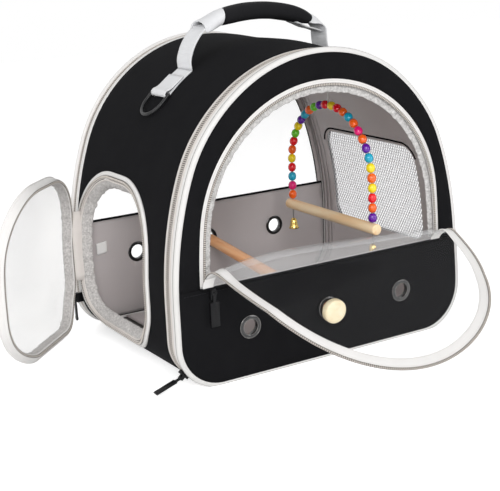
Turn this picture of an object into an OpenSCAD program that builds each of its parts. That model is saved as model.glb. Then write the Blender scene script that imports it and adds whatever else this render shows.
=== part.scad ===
/* [Body] */
// Width of the carrier across the black side walls
body_w = 434; // [380:1:480]
// Depth from the front face to the rear face
body_d = 318; // [290:1:360]
// Height from the floor to the top of the arch
body_h = 400; // [385:1:430]
// Radius of the two rounded bottom corners
corner_r = 59; // [40:1:75]
// Height at which the side walls start to lean in
spring_z = 109; // [100:1:125]
// Difference between half the width and the radius of the crown arc
crown_in = 16; // [9:1:32]
// Thickness of the padded black fabric wall
wall_t = 3; // [2.5:0.1:4]
// Thickness of the grey lining
lining_t = 1; // [0.8:0.1:1.5]
// Depth of the white zip band at the front
front_band = 33; // [30:1:40]
// Depth of the white zip band at the rear
rear_band = 22; // [20:1:30]

/* [Front and rear panels] */
// Thickness of the stiffened front and rear faces
face_t = 4; // [3:0.5:5]
// Width of the white piping seen from the front
piping_w = 5; // [4:0.5:6]
// Height of the window sill in the front panel
sill_z = 127; // [120:1:135]
// Width of the black border beside the front window at its sill
window_side = 32; // [30:1:42]
// Width of the black border above the front window
window_over = 41; // [38:1:55]
// Difference between the window's half width and its crown radius
window_crown_in = 3; // [2:1:15]
// Height of the black lower part of the rear panel
rear_sill_z = 152; // [140:1:165]
// Border of the rear panel around its clear window
rear_border_w = 12; // [10:1:25]

/* [Zips and bindings] */
// Thickness of the zip tapes and bindings
tape_t = 1.2; // [1:0.1:1.5]
// Width of the zip tape inside the front window
window_tape_w = 8; // [6:0.5:10]
// Width of the gathered binding behind the window zip
ruffle_w = 8; // [6:0.5:10]
// Width of the tooth row of a zip
coil_w = 2.4; // [2:0.1:3]
// Height by which a tooth row stands above its tape
coil_h = 0.8; // [0.5:0.1:1]

/* [Window flap] */
// Width of the white border of the window flap
flap_border_w = 14; // [10:1:18]
// Thickness of the clear sheets
sheet_t = 0.8; // [0.6:0.1:1]
// Length of the free fold strip along the sill
fold_len = 26; // [20:1:30]
// Angle of each of the two folds of the open flap
fold_angle = 55; // [40:0.5:60]

/* [Side door and mesh window] */
// Width of the door collar along the side wall
door_w = 218; // [190:1:224]
// Height of the lowest edge of the door collar
door_z0 = 22; // [18:1:40]
// Height of the top edge of the door collar
door_z1 = 241; // [220:1:250]
// Middle of the side door along the depth
door_y = 24; // [20:1:27]
// Radius of the two top corners of the side door
door_top_r = 84; // [80:1:105]
// Radius of the two bottom corners of the side door
door_bottom_r = 60; // [40:1:75]
// Width of the raised door collar
collar_w = 11; // [9:1:14]
// Height of the door collar above the side wall
collar_h = 4; // [3:0.5:5]
// Width of the rim around the clear door
rim_w = 12; // [10:1:16]
// Thickness of the rim around the clear door
rim_t = 4; // [3:0.5:5]
// Height of the fabric hinge tab of the door
tab_h = 98; // [70:1:110]
// Angle by which the door stands open
door_open = 46; // [0:1:80]
// Width of the mesh window along the side wall
mesh_w = 224; // [180:1:230]
// Height of the lower edge of the mesh window
mesh_z0 = 98; // [90:1:110]
// Height of the upper edge of the mesh window
mesh_z1 = 247; // [230:1:255]
// Middle of the mesh window along the depth
mesh_y = 13; // [5:1:18]
// Pitch of the openings in the mesh
mesh_pitch = 14; // [12:1:20]

/* [Grommets and perch] */
// Outer diameter of a grommet flange
grommet_d = 30; // [28:0.5:34]
// Diameter of the hole through a grommet
grommet_hole_d = 20; // [19:0.5:22]
// Distance of the outer grommets from the middle
grommet_x = 118; // [100:1:130]
// Height of the front grommets
front_grommet_z = 66; // [60:1:75]
// Height of the rear grommets
rear_grommet_z = 96; // [88:1:100]
// Diameter of the wooden perch
perch_d = 16; // [12:0.5:16.5]
// Diameter of the perch knob
knob_d = 32; // [30:1:38]
// Thickness of the perch knob
knob_t = 11; // [8:1:16]

/* [Swing] */
// Distance of the swing to the right of the middle
swing_x = 98; // [90:1:104]
// Middle of the swing along the depth
swing_y = -29; // [-34:1:-10]
// Height of the swing dowel above the floor
swing_z = 148; // [140:1:160]
// Length of the swing dowel
dowel_len = 211; // [208:1:214]
// Diameter of the swing dowel
dowel_d = 15; // [12:0.5:16]
// Radius of the wire arch
arch_r = 96; // [90:1:98]
// Height of the straight legs of the arch above the dowel
leg_h = 60; // [50:1:64]
// Diameter of the wire
wire_d = 2; // [1.6:0.1:2.5]
// Diameter of a bead
bead_d = 12.5; // [11:0.5:12.5]
// Number of beads on the wire
bead_n = 30; // [20:2:30]
// Width of a bell at its mouth
bell_d = 13; // [10:0.5:14]

/* [Handle] */
// Width of the webbing
webbing_w = 38; // [32:1:40]
// Thickness of the webbing
webbing_t = 2; // [1.6:0.1:2.5]
// Half length of the padded grip
grip_half = 72; // [60:1:76]
// Thickness of the padded grip
grip_t = 25; // [22:1:27]
// Height of the middle of the grip above the arch top
grip_rise = 34; // [33:1:40]
// Distance of the grip to the right of the middle
grip_x = 13; // [0:1:14]
// Middle of the handle along the depth
handle_y = -8; // [-20:1:20]
// Diameter of the rod of a D-ring
ring_rod_d = 4.5; // [4:0.1:5]

/* [Hidden] */

// Colours
black = "#1b1b1d";
white = "#f0eeeb";
beige = "#cfc8bf";
grey = "#8f8a88";
clear = "#dfe6ea";
wood = "#dcb27c";
gunmetal = "#3a3a3c";
webbing_grey = "#d5d6d8";
brass = "#c9a24a";

// Clearances
gap = 0.4;
seam_gap = 0.3;

// Places that follow from the driving sizes
half_w = body_w / 2;
crown_r = half_w - crown_in;
window_half_w = half_w - window_side;
window_crown_r = window_half_w - window_crown_in;
window_top = body_h - window_over;
y_front = -body_d / 2;
y_rear = body_d / 2;
crown_z = body_h - crown_r;
rise = crown_z - spring_z;
flank_r = (half_w * half_w + rise * rise - crown_r * crown_r) / (2 * (half_w - crown_r));
flank_a = atan2(rise, flank_r - half_w);
face_inset = piping_w - 1.5;
bottom_half = half_w - corner_r;
inner_t = wall_t + lining_t;
floor_z = wall_t;
board_t = 3;
mat_t = 9;
deep = 2 * body_d;

// Points of an arc with n steps
function arc(cx, cz, r, a0, a1, n) =
    [for (i = [0:n]) let (a = a0 + (a1 - a0) * i / n) [cx + r * cos(a), cz + r * sin(a)]];

// The right half of an outline, mirrored to the left
function both(p) = concat(p, [for (i = [len(p) - 1:-1:0]) [-p[i][0], p[i][1]]]);

// Closed outline of the carrier, offset inwards by inset
function carrier(inset) = both(concat(
    arc(bottom_half, corner_r, corner_r - inset, -90, 0, 9),
    arc(half_w - flank_r, spring_z, flank_r - inset, 0, flank_a, 8),
    [for (p = arc(0, crown_z, crown_r - inset, flank_a, 90, 12)) if (p[0] > 0.01) p]
));

// The part of that outline above a level z0, which lies on the leaning flanks
function carrier_above(z0, inset) = both(concat(
    arc(half_w - flank_r, spring_z, flank_r - inset,
        asin((z0 - spring_z) / (flank_r - inset)), flank_a, 8),
    [for (p = arc(0, crown_z, crown_r - inset, flank_a, 90, 12)) if (p[0] > 0.01) p]
));

// Arch with a straight sill, as the front window and its flap have
window_rise = window_top - window_crown_r - sill_z;
window_flank_r = (window_half_w * window_half_w + window_rise * window_rise
    - window_crown_r * window_crown_r) / (2 * (window_half_w - window_crown_r));
window_flank_a = atan2(window_rise, window_flank_r - window_half_w);
function window_arch(inset, lift) = both(concat(
    arc(window_half_w - window_flank_r, sill_z, window_flank_r - inset,
        asin(lift / (window_flank_r - inset)), window_flank_a, 6),
    [for (p = arc(0, window_top - window_crown_r, window_crown_r - inset, window_flank_a, 90, 14))
        if (p[0] > 0.01) p]
));

// Rounded rectangle with its own radii at the top and at the bottom
function tomb(w, z0, z1, top_r, bottom_r, inset) = both(concat(
    arc(w / 2 - bottom_r, z0 + bottom_r, bottom_r - inset, -90, 0, 8),
    arc(w / 2 - top_r, z1 - top_r, top_r - inset, 0, 90, 12)
));

// Stands a flat outline up and gives it depth from y0 to y1
module stand(y0, y1) {
    translate([0, y1, 0]) rotate([90, 0, 0]) linear_extrude(y1 - y0) children();
}

// Shell of the carrier outline between two insets, from y0 to y1
module hoop(inset0, inset1, y0, y1) {
    stand(y0, y1) difference() {
        polygon(carrier(inset0));
        polygon(carrier(inset1));
    }
}

// The same shell without its bottom stretch, which ends at the distance x
module open_hoop(inset0, inset1, y0, y1, x) {
    difference() {
        hoop(inset0, inset1, y0, y1);
        translate([-x, y0 - 1, -inner_t]) cube([2 * x, y1 - y0 + 2, 2 * inner_t + hem_h]);
    }
}

// Block with an outline in depth and height that reaches from x0 to x1
module side_block(x0, x1, y, points) {
    translate([x0, y, 0]) rotate([90, 0, 90]) linear_extrude(x1 - x0) polygon(points);
}

// Ring that follows the side wall between two offsets, on side -1 or 1
module wall_ring(side, y, outer, inner, off0, off1) {
    x0 = side < 0 ? -half_w - 60 : 60;
    x1 = side < 0 ? -60 : half_w + 60;
    difference() {
        intersection() {
            hoop(-off1, -off0, -deep, deep);
            side_block(x0, x1, y, outer);
        }
        side_block(x0 - 1, x1 + 1, y, inner);
    }
}

// Patch that follows the side wall between two offsets
module wall_patch(side, y, outer, off0, off1) {
    x0 = side < 0 ? -half_w - 60 : 60;
    x1 = side < 0 ? -60 : half_w + 60;
    intersection() {
        hoop(-off1, -off0, -deep, deep);
        side_block(x0, x1, y, outer);
    }
}

function door_outline(inset) = tomb(door_w, door_z0, door_z1, door_top_r, door_bottom_r, inset);
function mesh_outline(inset) = tomb(mesh_w, mesh_z0, mesh_z1, mesh_corner_r, mesh_corner_r, inset);

// Black arch-shaped wall that runs round the sides and the top
module gusset() {
    y0 = y_front + front_band;
    y1 = y_rear - rear_band;
    color(black) difference() {
        hoop(0, wall_t, y0, y1);
        translate([-bottom_half, y0 - 1, -1]) cube([2 * bottom_half, y1 - y0 + 2, wall_t + 2]);
        side_block(-half_w - 10, -60, door_y, door_outline(collar_w));
        side_block(60, half_w + 10, mesh_y, mesh_outline(0));
    }
}

// Flat black underside between the two rounded corners
module base_panel() {
    y0 = y_front + front_band;
    y1 = y_rear - rear_band;
    color(black) translate([-bottom_half, y0, 0]) cube([2 * bottom_half, y1 - y0, wall_t]);
}

// Grey lining inside the black wall
module gusset_lining() {
    y0 = y_front + front_band;
    y1 = y_rear - rear_band;
    color(grey) difference() {
        hoop(wall_t, inner_t, y0, y1);
        translate([-bottom_half, y0 - 1, -1]) cube([2 * bottom_half, y1 - y0 + 2, inner_t + 2]);
        side_block(-half_w - 10, -60, door_y, door_outline(collar_w));
        side_block(60, half_w + 10, mesh_y, mesh_outline(0));
    }
}

// Stiff board that keeps the floor flat
module base_board() {
    color("#6e6a68") translate([-bottom_half + 2, y_front + front_band + 1, floor_z])
        cube([2 * bottom_half - 4, body_d - front_band - rear_band - 2, board_t]);
}

// Padded grey mat on the board
module floor_mat() {
    color(grey) translate([-bottom_half + 4, y_front + front_band + 3, floor_z + board_t])
        cube([2 * bottom_half - 8, body_d - front_band - rear_band - 6, mat_t]);
}

// Sewn strips that hinge the two panels to the base
module hinge_strips() {
    w = 2 * bottom_half - 2;
    color(black) {
        translate([-w / 2, y_front + piping_w + 1, 0])
            cube([w, front_band - piping_w - 1, tape_t]);
        translate([-w / 2, y_rear - rear_band, 0])
            cube([w, rear_band - piping_w - 1, tape_t]);
    }
}

// Places of the two halves of the front and rear zips
body_tape_w = 9;
front_zip_w = 8;
front_split = y_front + front_band - body_tape_w;
rear_split = y_rear - rear_band + body_tape_w;

// Zip tape with its tooth row, from y0 to y1, teeth along the edge at yt
coil_end_x = bottom_half + 14;
tape_inset = 0.6;
module zip_hoop(y0, y1, yt) {
    color(beige) {
        open_hoop(tape_inset, tape_inset + tape_t, y0, y1, bottom_half + seam_gap);
        open_hoop(tape_inset - coil_h, tape_inset, yt, yt + coil_w, coil_end_x);
    }
}

// Halves of the front and rear zips that are sewn to the walls
module body_zips() {
    zip_hoop(front_split + seam_gap, y_front + front_band, front_split + seam_gap);
    zip_hoop(y_rear - rear_band, rear_split - seam_gap, rear_split - seam_gap - coil_w);
}

// Raised white collar around the door opening
module door_collar() {
    color(white) wall_ring(-1, door_y, door_outline(0), door_outline(collar_w), 0, collar_h - tape_t);
}

// Zip tape and tooth row on top of the collar
module door_collar_zip() {
    color(beige) wall_ring(-1, door_y, door_outline(0.5), door_outline(collar_w - 2),
        collar_h - tape_t, collar_h);
}

// Gathered binding inside the door opening
module door_binding() {
    color("#b9b4b0") wall_ring(-1, door_y, door_outline(collar_w), door_outline(collar_w + ruffle_w),
        -inner_t, -inner_t + 2 * tape_t);
}

// Mesh sheet that fills the opening in the other side wall
mesh_bar = 4;
mesh_hole = mesh_pitch - mesh_bar;
mesh_corner_r = 28;
mesh_edge = 18;
mesh_nx = floor((mesh_w - 2 * mesh_edge) / mesh_pitch);
mesh_nz = floor((mesh_z1 - mesh_z0 - 2 * mesh_edge) / mesh_pitch);
module mesh_window() {
    color("#e4e4e6") difference() {
        wall_patch(1, mesh_y, mesh_outline(0), -wall_t + 1, -wall_t + 2);
        for (i = [0:mesh_nx - 1], k = [0:mesh_nz - 1])
            translate([60, mesh_y + (i - (mesh_nx - 1) / 2) * mesh_pitch - mesh_hole / 2,
                (mesh_z0 + mesh_z1) / 2 + (k - (mesh_nz - 1) / 2) * mesh_pitch - mesh_hole / 2])
                cube([half_w, mesh_hole, mesh_hole]);
    }
}

// Black binding around the mesh on the outside of the wall
module mesh_binding() {
    color(black) wall_ring(1, mesh_y, mesh_outline(-5), mesh_outline(6), 0, tape_t);
}

// Angle on the crown at which a point at distance x from the middle lies
function crown_a(x) = acos(x / crown_r);

// Places of the handle and its straps on the shoulders
strap_end_a = 45.5;
pivot_x = 108;
pivot_z = crown_z + sqrt(crown_r * crown_r - pivot_x * pivot_x) + webbing_w / 2 + 4;
strap_top_a = crown_a(pivot_x + 2);
grip_z = body_h + grip_rise;
grip_r = 222;
grip_a = asin(grip_half / grip_r);
grip_end_z = grip_z - grip_r * (1 - cos(grip_a));

// Bar of a D-ring, in the frame of the crown at the strap's lower end
ring_fit = 0.3;
loop_t = 1.5;
ring_off = webbing_t + ring_rod_d / 2 + ring_fit;
bar_x = -3;
module ring_at_crown() {
    translate([0, handle_y, crown_z]) rotate([0, strap_end_a - 90, 0])
        translate([0, 0, crown_r + ring_off]) children();
}

// Strip of a ring of radius r0 and thickness t, between two angles
module arc_strip(a0, a1, r0, t) {
    far = 1.2 * (r0 + t);
    intersection() {
        difference() {
            circle(r = r0 + t, $fn = 180);
            circle(r = r0, $fn = 180);
        }
        polygon([[0, 0], [far * cos(a0), far * sin(a0)], [far * cos(a1), far * sin(a1)]]);
    }
}

// Webbing on one shoulder, sewn double round the bar of its D-ring
sewn_a = 8;
module shoulder_strap() {
    translate([0, handle_y + webbing_w / 2, crown_z]) rotate([90, 0, 0]) linear_extrude(webbing_w) {
        arc_strip(180 - strap_top_a, 180 - strap_end_a, crown_r, webbing_t);
        arc_strip(180 - strap_end_a - sewn_a, 180 - strap_end_a, crown_r + webbing_t / 2, 1.5 * webbing_t);
        rotate(90 - strap_end_a) translate([bar_x, crown_r + ring_off]) difference() {
            union() {
                circle(r = ring_rod_d / 2 + ring_fit + loop_t, $fn = 64);
                translate([0, -ring_off + 0.8]) square([ring_off, 2 * webbing_t - 1.6]);
            }
            circle(d = ring_rod_d + 2 * ring_fit, $fn = 64);
        }
    }
}

// Tab at the top of a strap that holds the riser of the handle
tab_gap = 1;
module riser_tab() {
    z0 = pivot_z - webbing_w / 2 - 5;
    translate([-pivot_x - 2 * webbing_t - tab_gap, handle_y - webbing_w / 2, z0])
        cube([webbing_t, webbing_w, webbing_w / 2 + 20]);
}

module shoulder_straps() {
    color(webbing_grey) for (s = [0, 1]) mirror([s, 0, 0]) {
        shoulder_strap();
        riser_tab();
    }
}

// Hinge line of the side door
hinge_off = collar_h + gap + rim_t + seam_gap + tape_t / 2;
hinge_x = -half_w - hinge_off;
hinge_y = door_y + door_w / 2 + 2.5;
hinge_z = 75;
tab_z0 = 82;
tab_len = 16;

// Small flap of the wall to which the door tab is sewn
module door_tab_anchor() {
    color(beige) difference() {
        translate([-half_w - hinge_off - tape_t, hinge_y + seam_gap + 0.6, tab_z0])
            cube([hinge_off + tape_t + 12, 1.6, tab_h]);
        translate([0, hinge_y + 10, 0]) stand(-20, 20) polygon(carrier(0));
    }
}

// Closed door turned to the angle at which it stands open
module opened() {
    translate([hinge_x, hinge_y, hinge_z]) rotate([0, 0, -door_open])
        translate([-hinge_x, -hinge_y, -hinge_z]) children();
}

// Fabric strip that swings with the door
module door_tab() {
    color(beige) opened() translate([hinge_x - tape_t / 2, hinge_y - tab_len, tab_z0])
        cube([tape_t, tab_len, tab_h]);
}

door_off = collar_h + gap;
function leaf(inset) = door_outline(inset + 4);

// Clear sheet of the side door
module door_sheet() {
    color(clear, 0.4) opened()
        wall_patch(-1, door_y, leaf(rim_w), door_off + 1.2, door_off + 1.2 + sheet_t);
}

// White padded rim around the clear sheet
module door_rim() {
    color(white) opened()
        wall_ring(-1, door_y, leaf(0), leaf(rim_w), door_off + tape_t, door_off + rim_t);
}

// Zip tape on the inner side of the rim
module door_zip() {
    color(beige) opened()
        wall_ring(-1, door_y, leaf(0.4), leaf(rim_w - 4), door_off, door_off + tape_t);
}

// Pins on which the pulls hang
slider_w = 7.4;
slider_t = 5;
slider_len = 13;
pin_d = 2;
pin_fit = 0.3;
pull_t = 2.2;
eye_r = 4;

// Pull in its own frame: the eye is at the origin and the pull hangs along -z
module pull(len, w, round_end) {
    rotate([0, 90, 0]) difference() {
        union() {
            cylinder(r = eye_r, h = pull_t, $fn = 48);
            translate([0, -eye_r / 2, 0]) cube([14, eye_r, pull_t]);
            translate([12, -w / 2, 0]) cube([len - 12 - (round_end ? w / 2 : 0), w, pull_t]);
            if (round_end) translate([len - w / 2, 0, 0]) cylinder(d = w + 2, h = pull_t, $fn = 48);
        }
        translate([0, 0, -1]) cylinder(d = pin_d + 2 * pin_fit, h = pull_t + 2, $fn = 32);
    }
}

// Slider in its own frame: its back lies on x = 0, its pin points along +x
module slider() {
    translate([0, -slider_w / 2, -slider_len + 4]) cube([slider_t, slider_w, slider_len]);
    rotate([0, 90, 0]) cylinder(d = pin_d, h = slider_t + gap + pull_t + 0.6, $fn = 32);
}

// Slider at the lower rear end of the door zip, beside the collar
door_slider_y = hinge_y + 0.5;
door_slider_z = 54;
module at_door_slider() {
    translate([-half_w - collar_h, door_slider_y, door_slider_z]) mirror([1, 0, 0]) children();
}

module door_slider() {
    stop_y0 = door_y + door_w / 2 + 0.2;
    color(gunmetal) {
        at_door_slider() slider();
        difference() {
            translate([-half_w - collar_h, stop_y0, door_slider_z - slider_len + 4])
                cube([collar_h + 12, y_rear - rear_band - stop_y0, slider_len]);
            stand(-deep, deep) polygon(carrier(0));
        }
    }
}

// Teardrop pull that hangs from the slider of the door
module door_pull() {
    color(gunmetal) at_door_slider() translate([slider_t + gap, 0, 0]) pull(35, 6, true);
}

// Upper black face around the window
module front_arch_face() {
    color(black) stand(y_front + 0.8, y_front + 0.8 + face_t) difference() {
        polygon(carrier(face_inset));
        polygon(window_arch(0, 0));
        translate([-body_w, -1]) square([2 * body_w, sill_z + 1]);
    }
}

// Axis of the perch between the two middle grommets
perch_tilt = atan2(rear_grommet_z - front_grommet_z, body_d);
module along_perch() {
    translate([0, y_front, front_grommet_z]) rotate([perch_tilt - 90, 0, 0]) children();
}

module grommet_places(z) {
    for (x = [-grommet_x, 0, grommet_x]) translate([x, 0, z]) children();
}

// Lower black face with the three grommet holes
hole_cut_d = grommet_hole_d + 3;
module front_lower_face() {
    color(black) difference() {
        stand(y_front + 0.8, y_front + 0.8 + face_t) intersection() {
            polygon(carrier(face_inset));
            translate([-body_w, -1]) square([2 * body_w, sill_z + 1]);
        }
        grommet_places(front_grommet_z) translate([0, y_front - 5, 0]) rotate([-90, 0, 0])
            cylinder(d = hole_cut_d, h = face_t + 10, $fn = 64);
    }
}

// Grey lining behind both faces
front_back = y_front + 0.8 + face_t;
module front_lining() {
    color(grey) difference() {
        stand(front_back, front_back + lining_t) difference() {
            polygon(carrier(inner_t + 1.5));
            polygon(window_arch(-1, 0));
        }
        grommet_places(front_grommet_z) translate([0, y_front - 5, 0]) rotate([-90, 0, 0])
            cylinder(d = hole_cut_d, h = face_t + 12, $fn = 64);
    }
}

// Round white edge of the front panel
piping_out = 2;
piping_lift = 0.6;
hem_h = 6;
module piping_ring(y0, y1) {
    difference() {
        hoop(-piping_out, face_inset, y0, y1);
        translate([-body_w, y0 - 1, piping_lift - body_h]) cube([2 * body_w, y1 - y0 + 2, body_h]);
    }
}

module front_piping() {
    color(white) piping_ring(y_front, y_front + piping_w);
}

// White fabric band behind the piping
module front_rim() {
    color(white) open_hoop(0, wall_t, y_front + piping_w, front_split - front_zip_w, bottom_half + seam_gap);
}

module front_zip() {
    zip_hoop(front_split - front_zip_w, front_split, front_split - coil_w);
}

// Zip tape inside the window opening, on the back of the face
module window_zip() {
    color(white) difference() {
        stand(front_back - tape_t - 1, front_back - tape_t) polygon(window_arch(0, 0));
        stand(front_back - 20, front_back + 20) polygon(window_arch(window_tape_w, 0));
    }
}

// Gathered binding behind that tape
module window_binding() {
    color("#d8d4d0") difference() {
        stand(front_back, front_back + 2 * tape_t) polygon(window_arch(0, window_tape_w / 2));
        stand(front_back - 20, front_back + 20)
            polygon(window_arch(window_tape_w + ruffle_w, 0));
    }
}

// Grommet: flange in front, barrel, and washer behind; y is the outer face
module grommet(y, dir, stack) {
    translate([0, y, 0]) rotate([dir > 0 ? -90 : 90, 0, 0]) difference() {
        union() {
            translate([0, 0, -1.6]) cylinder(d = grommet_d, h = 1.6, $fn = 96);
            translate([0, 0, -1.6]) cylinder(d = hole_cut_d, h = stack + 2.8, $fn = 96);
            translate([0, 0, stack]) cylinder(d = grommet_d, h = 1.2, $fn = 96);
        }
        translate([0, 0, -5]) cylinder(d = grommet_hole_d, h = stack + 12, $fn = 96);
    }
}

module front_grommets() {
    color(gunmetal) grommet_places(front_grommet_z) grommet(y_front + 0.8, 1, face_t + lining_t);
}

// Slider of the window zip, at the left end of the sill, with its long pull
window_slider_x = -window_half_w + 15;
module at_window_slider() {
    translate([window_slider_x, y_front + 0.8, sill_z - 5]) rotate([0, 0, -90]) children();
}

module window_slider() {
    color(gunmetal) at_window_slider() slider();
}

module window_pull() {
    color(black) at_window_slider() translate([slider_t + gap, 0, 0]) pull(43, 12, false);
}

// Sliders of the front and rear zips sit on a lower corner, their pulls lie outwards
corner_a = 48;
corner_x = -bottom_half - corner_r * sin(corner_a);
corner_z = corner_r - corner_r * cos(corner_a);
seat = coil_h - tape_inset;
lug_t = 1.4;
lie_r = 2.8;
lie_off = seat + slider_t + lie_r + gap;
lie_x = corner_x - lie_off * sin(corner_a);
lie_z = corner_z - lie_off * cos(corner_a);
lie_len = 38;
lie_w = 9;
lie_a = asin((lie_z - 2.2) / lie_len);

module corner_slider(y) {
    translate([corner_x, y, corner_z]) rotate([0, 90 + corner_a, 0]) {
        translate([seat, -slider_w / 2, -slider_len / 2]) cube([slider_t, slider_w, slider_len]);
        for (s = [-1, 1]) translate([seat + slider_t, s * (slider_w - lug_t) / 2 - lug_t / 2, -2])
            cube([lie_r + gap + 2, lug_t, 4]);
        translate([lie_off, slider_w / 2, 0]) rotate([90, 0, 0])
            cylinder(d = pin_d, h = slider_w, $fn = 32);
    }
}

module lying_pull(y) {
    eye_w = slider_w - 2 * lug_t - 2 * seam_gap;
    translate([lie_x, y, lie_z]) rotate([0, -lie_a, 0]) difference() {
        union() {
            translate([0, eye_w / 2, 0]) rotate([90, 0, 0]) cylinder(r = lie_r, h = eye_w, $fn = 48);
            translate([-10, -eye_w / 2, -pull_t / 2]) cube([10, eye_w, pull_t]);
            translate([-lie_len, -lie_w / 2, -pull_t / 2]) cube([lie_len - 8, lie_w, pull_t]);
        }
        translate([0, lie_w, 0]) rotate([90, 0, 0])
            cylinder(d = pin_d + 2 * pin_fit, h = 2 * lie_w, $fn = 32);
    }
}

front_slider_y = front_split - slider_w / 2 - 0.2;
rear_slider_y = rear_split + slider_w / 2 + 0.2;
module front_slider() {
    color(gunmetal) corner_slider(front_slider_y);
}

module front_pull() {
    color(black) lying_pull(front_slider_y);
}

// Perch that passes through the middle front grommet
perch_start = 2.7;
perch_len = body_d / cos(perch_tilt) - face_t - 4;
module perch_dowel() {
    color(wood) along_perch() translate([0, 0, -perch_start])
        cylinder(d = perch_d, h = perch_len, $fn = 96);
}

module perch_knob() {
    color("#ead3a8") along_perch() translate([0, 0, -knob_t - perch_start])
        cylinder(d = knob_d, h = knob_t, $fn = 96);
}

// Rest shape of the window flap: two folds along the sill
sill_gap = 2;
flap_y = y_front + 0.8 - gap - 1.5;
fold_z = sill_z + sill_gap;
flap_lift = sill_gap + fold_len;

module at_fold_one() {
    translate([0, flap_y, fold_z]) rotate([fold_angle, 0, 0]) children();
}

module at_fold_two() {
    at_fold_one() translate([0, 0, fold_len]) rotate([fold_angle, 0, 0]) children();
}

// Closed flap shape moved so that its second fold lies on the x axis
module flap_slab(y0, y1, inset, start = seam_gap) {
    translate([0, 0, -sill_z - flap_lift]) stand(y0, y1) polygon(window_arch(inset, flap_lift + start));
}

flap_inset = 2;
module fold_strip() {
    w = window_half_w - flap_inset - 2;
    color(clear, 0.4) at_fold_one() translate([-w, -0.6, seam_gap])
        cube([2 * w, 1.2, fold_len - 2 * seam_gap]);
}

module flap_sheet() {
    color(clear, 0.4) at_fold_two() flap_slab(-sheet_t / 2, sheet_t / 2, flap_inset + flap_border_w);
}

module flap_border() {
    color(white) at_fold_two() difference() {
        flap_slab(-1.2, 0.6, flap_inset, 2 * seam_gap);
        flap_slab(-3, 3, flap_inset + flap_border_w, -seam_gap);
    }
}

module flap_zip() {
    color(beige) at_fold_two() difference() {
        flap_slab(0.6, 0.6 + coil_h, flap_inset + 1, 3);
        flap_slab(-3, 3, flap_inset + 1 + coil_w, 0);
    }
}

// Lower black part of the rear panel
rear_back = y_rear - 0.8 - face_t;
module rear_lower_face() {
    color(black) difference() {
        stand(rear_back, y_rear - 0.8) intersection() {
            polygon(carrier(face_inset));
            translate([-body_w, -1]) square([2 * body_w, rear_sill_z + 1]);
        }
        grommet_places(rear_grommet_z) translate([0, y_rear - face_t - 5, 0]) rotate([-90, 0, 0])
            cylinder(d = hole_cut_d, h = face_t + 10, $fn = 64);
    }
}

// Narrow black border above it
module rear_border() {
    color(black) stand(rear_back, y_rear - 0.8) difference() {
        polygon(carrier(face_inset));
        polygon(carrier_above(rear_sill_z - 1, rear_border_w));
        translate([-body_w, -1]) square([2 * body_w, rear_sill_z + 1]);
    }
}

// Clear sheet of the rear window
module rear_window() {
    color(clear, 0.4) stand(rear_back + 1, rear_back + 1 + sheet_t)
        polygon(carrier_above(rear_sill_z, rear_border_w));
}

module rear_piping() {
    color(white) piping_ring(y_rear - piping_w, y_rear);
}

module rear_zip() {
    zip_hoop(rear_split, y_rear - piping_w, rear_split);
}

module rear_grommets() {
    color(gunmetal) grommet_places(rear_grommet_z) grommet(y_rear - 0.8, -1, face_t);
}

module rear_slider() {
    color(gunmetal) mirror([1, 0, 0]) corner_slider(rear_slider_y);
}

module rear_pull() {
    color(black) mirror([1, 0, 0]) lying_pull(rear_slider_y);
}

// Swing: its turning point hangs from a webbing loop on the ceiling
ceiling_z = crown_z + sqrt((crown_r - inner_t) * (crown_r - inner_t) - swing_x * swing_x);
arch_top = swing_z + leg_h + arch_r;
eye_z = ceiling_z - 24;
module swing_ceiling_loop() {
    color(webbing_grey) difference() {
        translate([swing_x - 8, swing_y - 1, eye_z - 5]) cube([16, 2, ceiling_z - eye_z + 20]);
        stand(-deep, deep) difference() {
            translate([-2 * body_w, -body_h]) square([4 * body_w, 3 * body_h]);
            polygon(carrier(inner_t));
        }
        translate([swing_x, swing_y + 5, eye_z]) rotate([90, 0, 0]) cylinder(d = 6, h = 10, $fn = 48);
    }
}

// Wire hook from the loop down to the arch
hook_r = 5;
module swing_hook() {
    color(gunmetal) {
        translate([swing_x, swing_y, eye_z]) rotate([90, 0, 90]) translate([0, -hook_r + 1.4, 0])
            rotate([0, 0, -90]) rotate_extrude($fn = 64) translate([hook_r, 0]) circle(d = wire_d, $fn = 24);
        translate([swing_x, swing_y, arch_top + wire_d / 2])
            cylinder(d = wire_d, h = eye_z - 2 * hook_r + 1.4 - arch_top - wire_d / 2, $fn = 24);
    }
}

// Wire arch with legs that pass through the dowel
leg_end = 24;
module swing_wire() {
    color(gunmetal) translate([swing_x, swing_y, swing_z]) {
        translate([0, 0, leg_h]) rotate([90, 0, 90])
            rotate_extrude(angle = 180, $fn = 120) translate([arch_r, 0]) circle(d = wire_d, $fn = 24);
        for (s = [-1, 1]) translate([0, s * arch_r, -leg_end])
            cylinder(d = wire_d, h = leg_h + leg_end, $fn = 24);
    }
}

module swing_dowel() {
    color(wood) translate([swing_x, swing_y, swing_z]) difference() {
        translate([0, dowel_len / 2, 0]) rotate([90, 0, 0]) cylinder(d = dowel_d, h = dowel_len, $fn = 64);
        for (s = [-1, 1]) translate([0, s * arch_r, -dowel_d])
            cylinder(d = wire_d, h = 2 * dowel_d, $fn = 24);
    }
}

// Beads at equal steps along both halves of the wire, apart at the hook on its top
bead_start = dowel_d / 2 + bead_d / 2 + 1;
wire_run = 2 * (leg_h - bead_start) + PI * arch_r;
bead_top = (bead_d + wire_d) / 2 + gap;
bead_step = (wire_run / 2 - bead_top) / (bead_n / 2 - 1);
function bead_place(i) =
    let (s = i < bead_n / 2 ? i * bead_step : wire_run - (bead_n - 1 - i) * bead_step, leg = leg_h - bead_start)
    s < leg ? [arch_r, bead_start + s] :
    s > wire_run - leg ? [-arch_r, bead_start + wire_run - s] :
    let (a = (s - leg) / arch_r * 180 / PI) [arch_r * cos(a), leg_h + arch_r * sin(a)];

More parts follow.
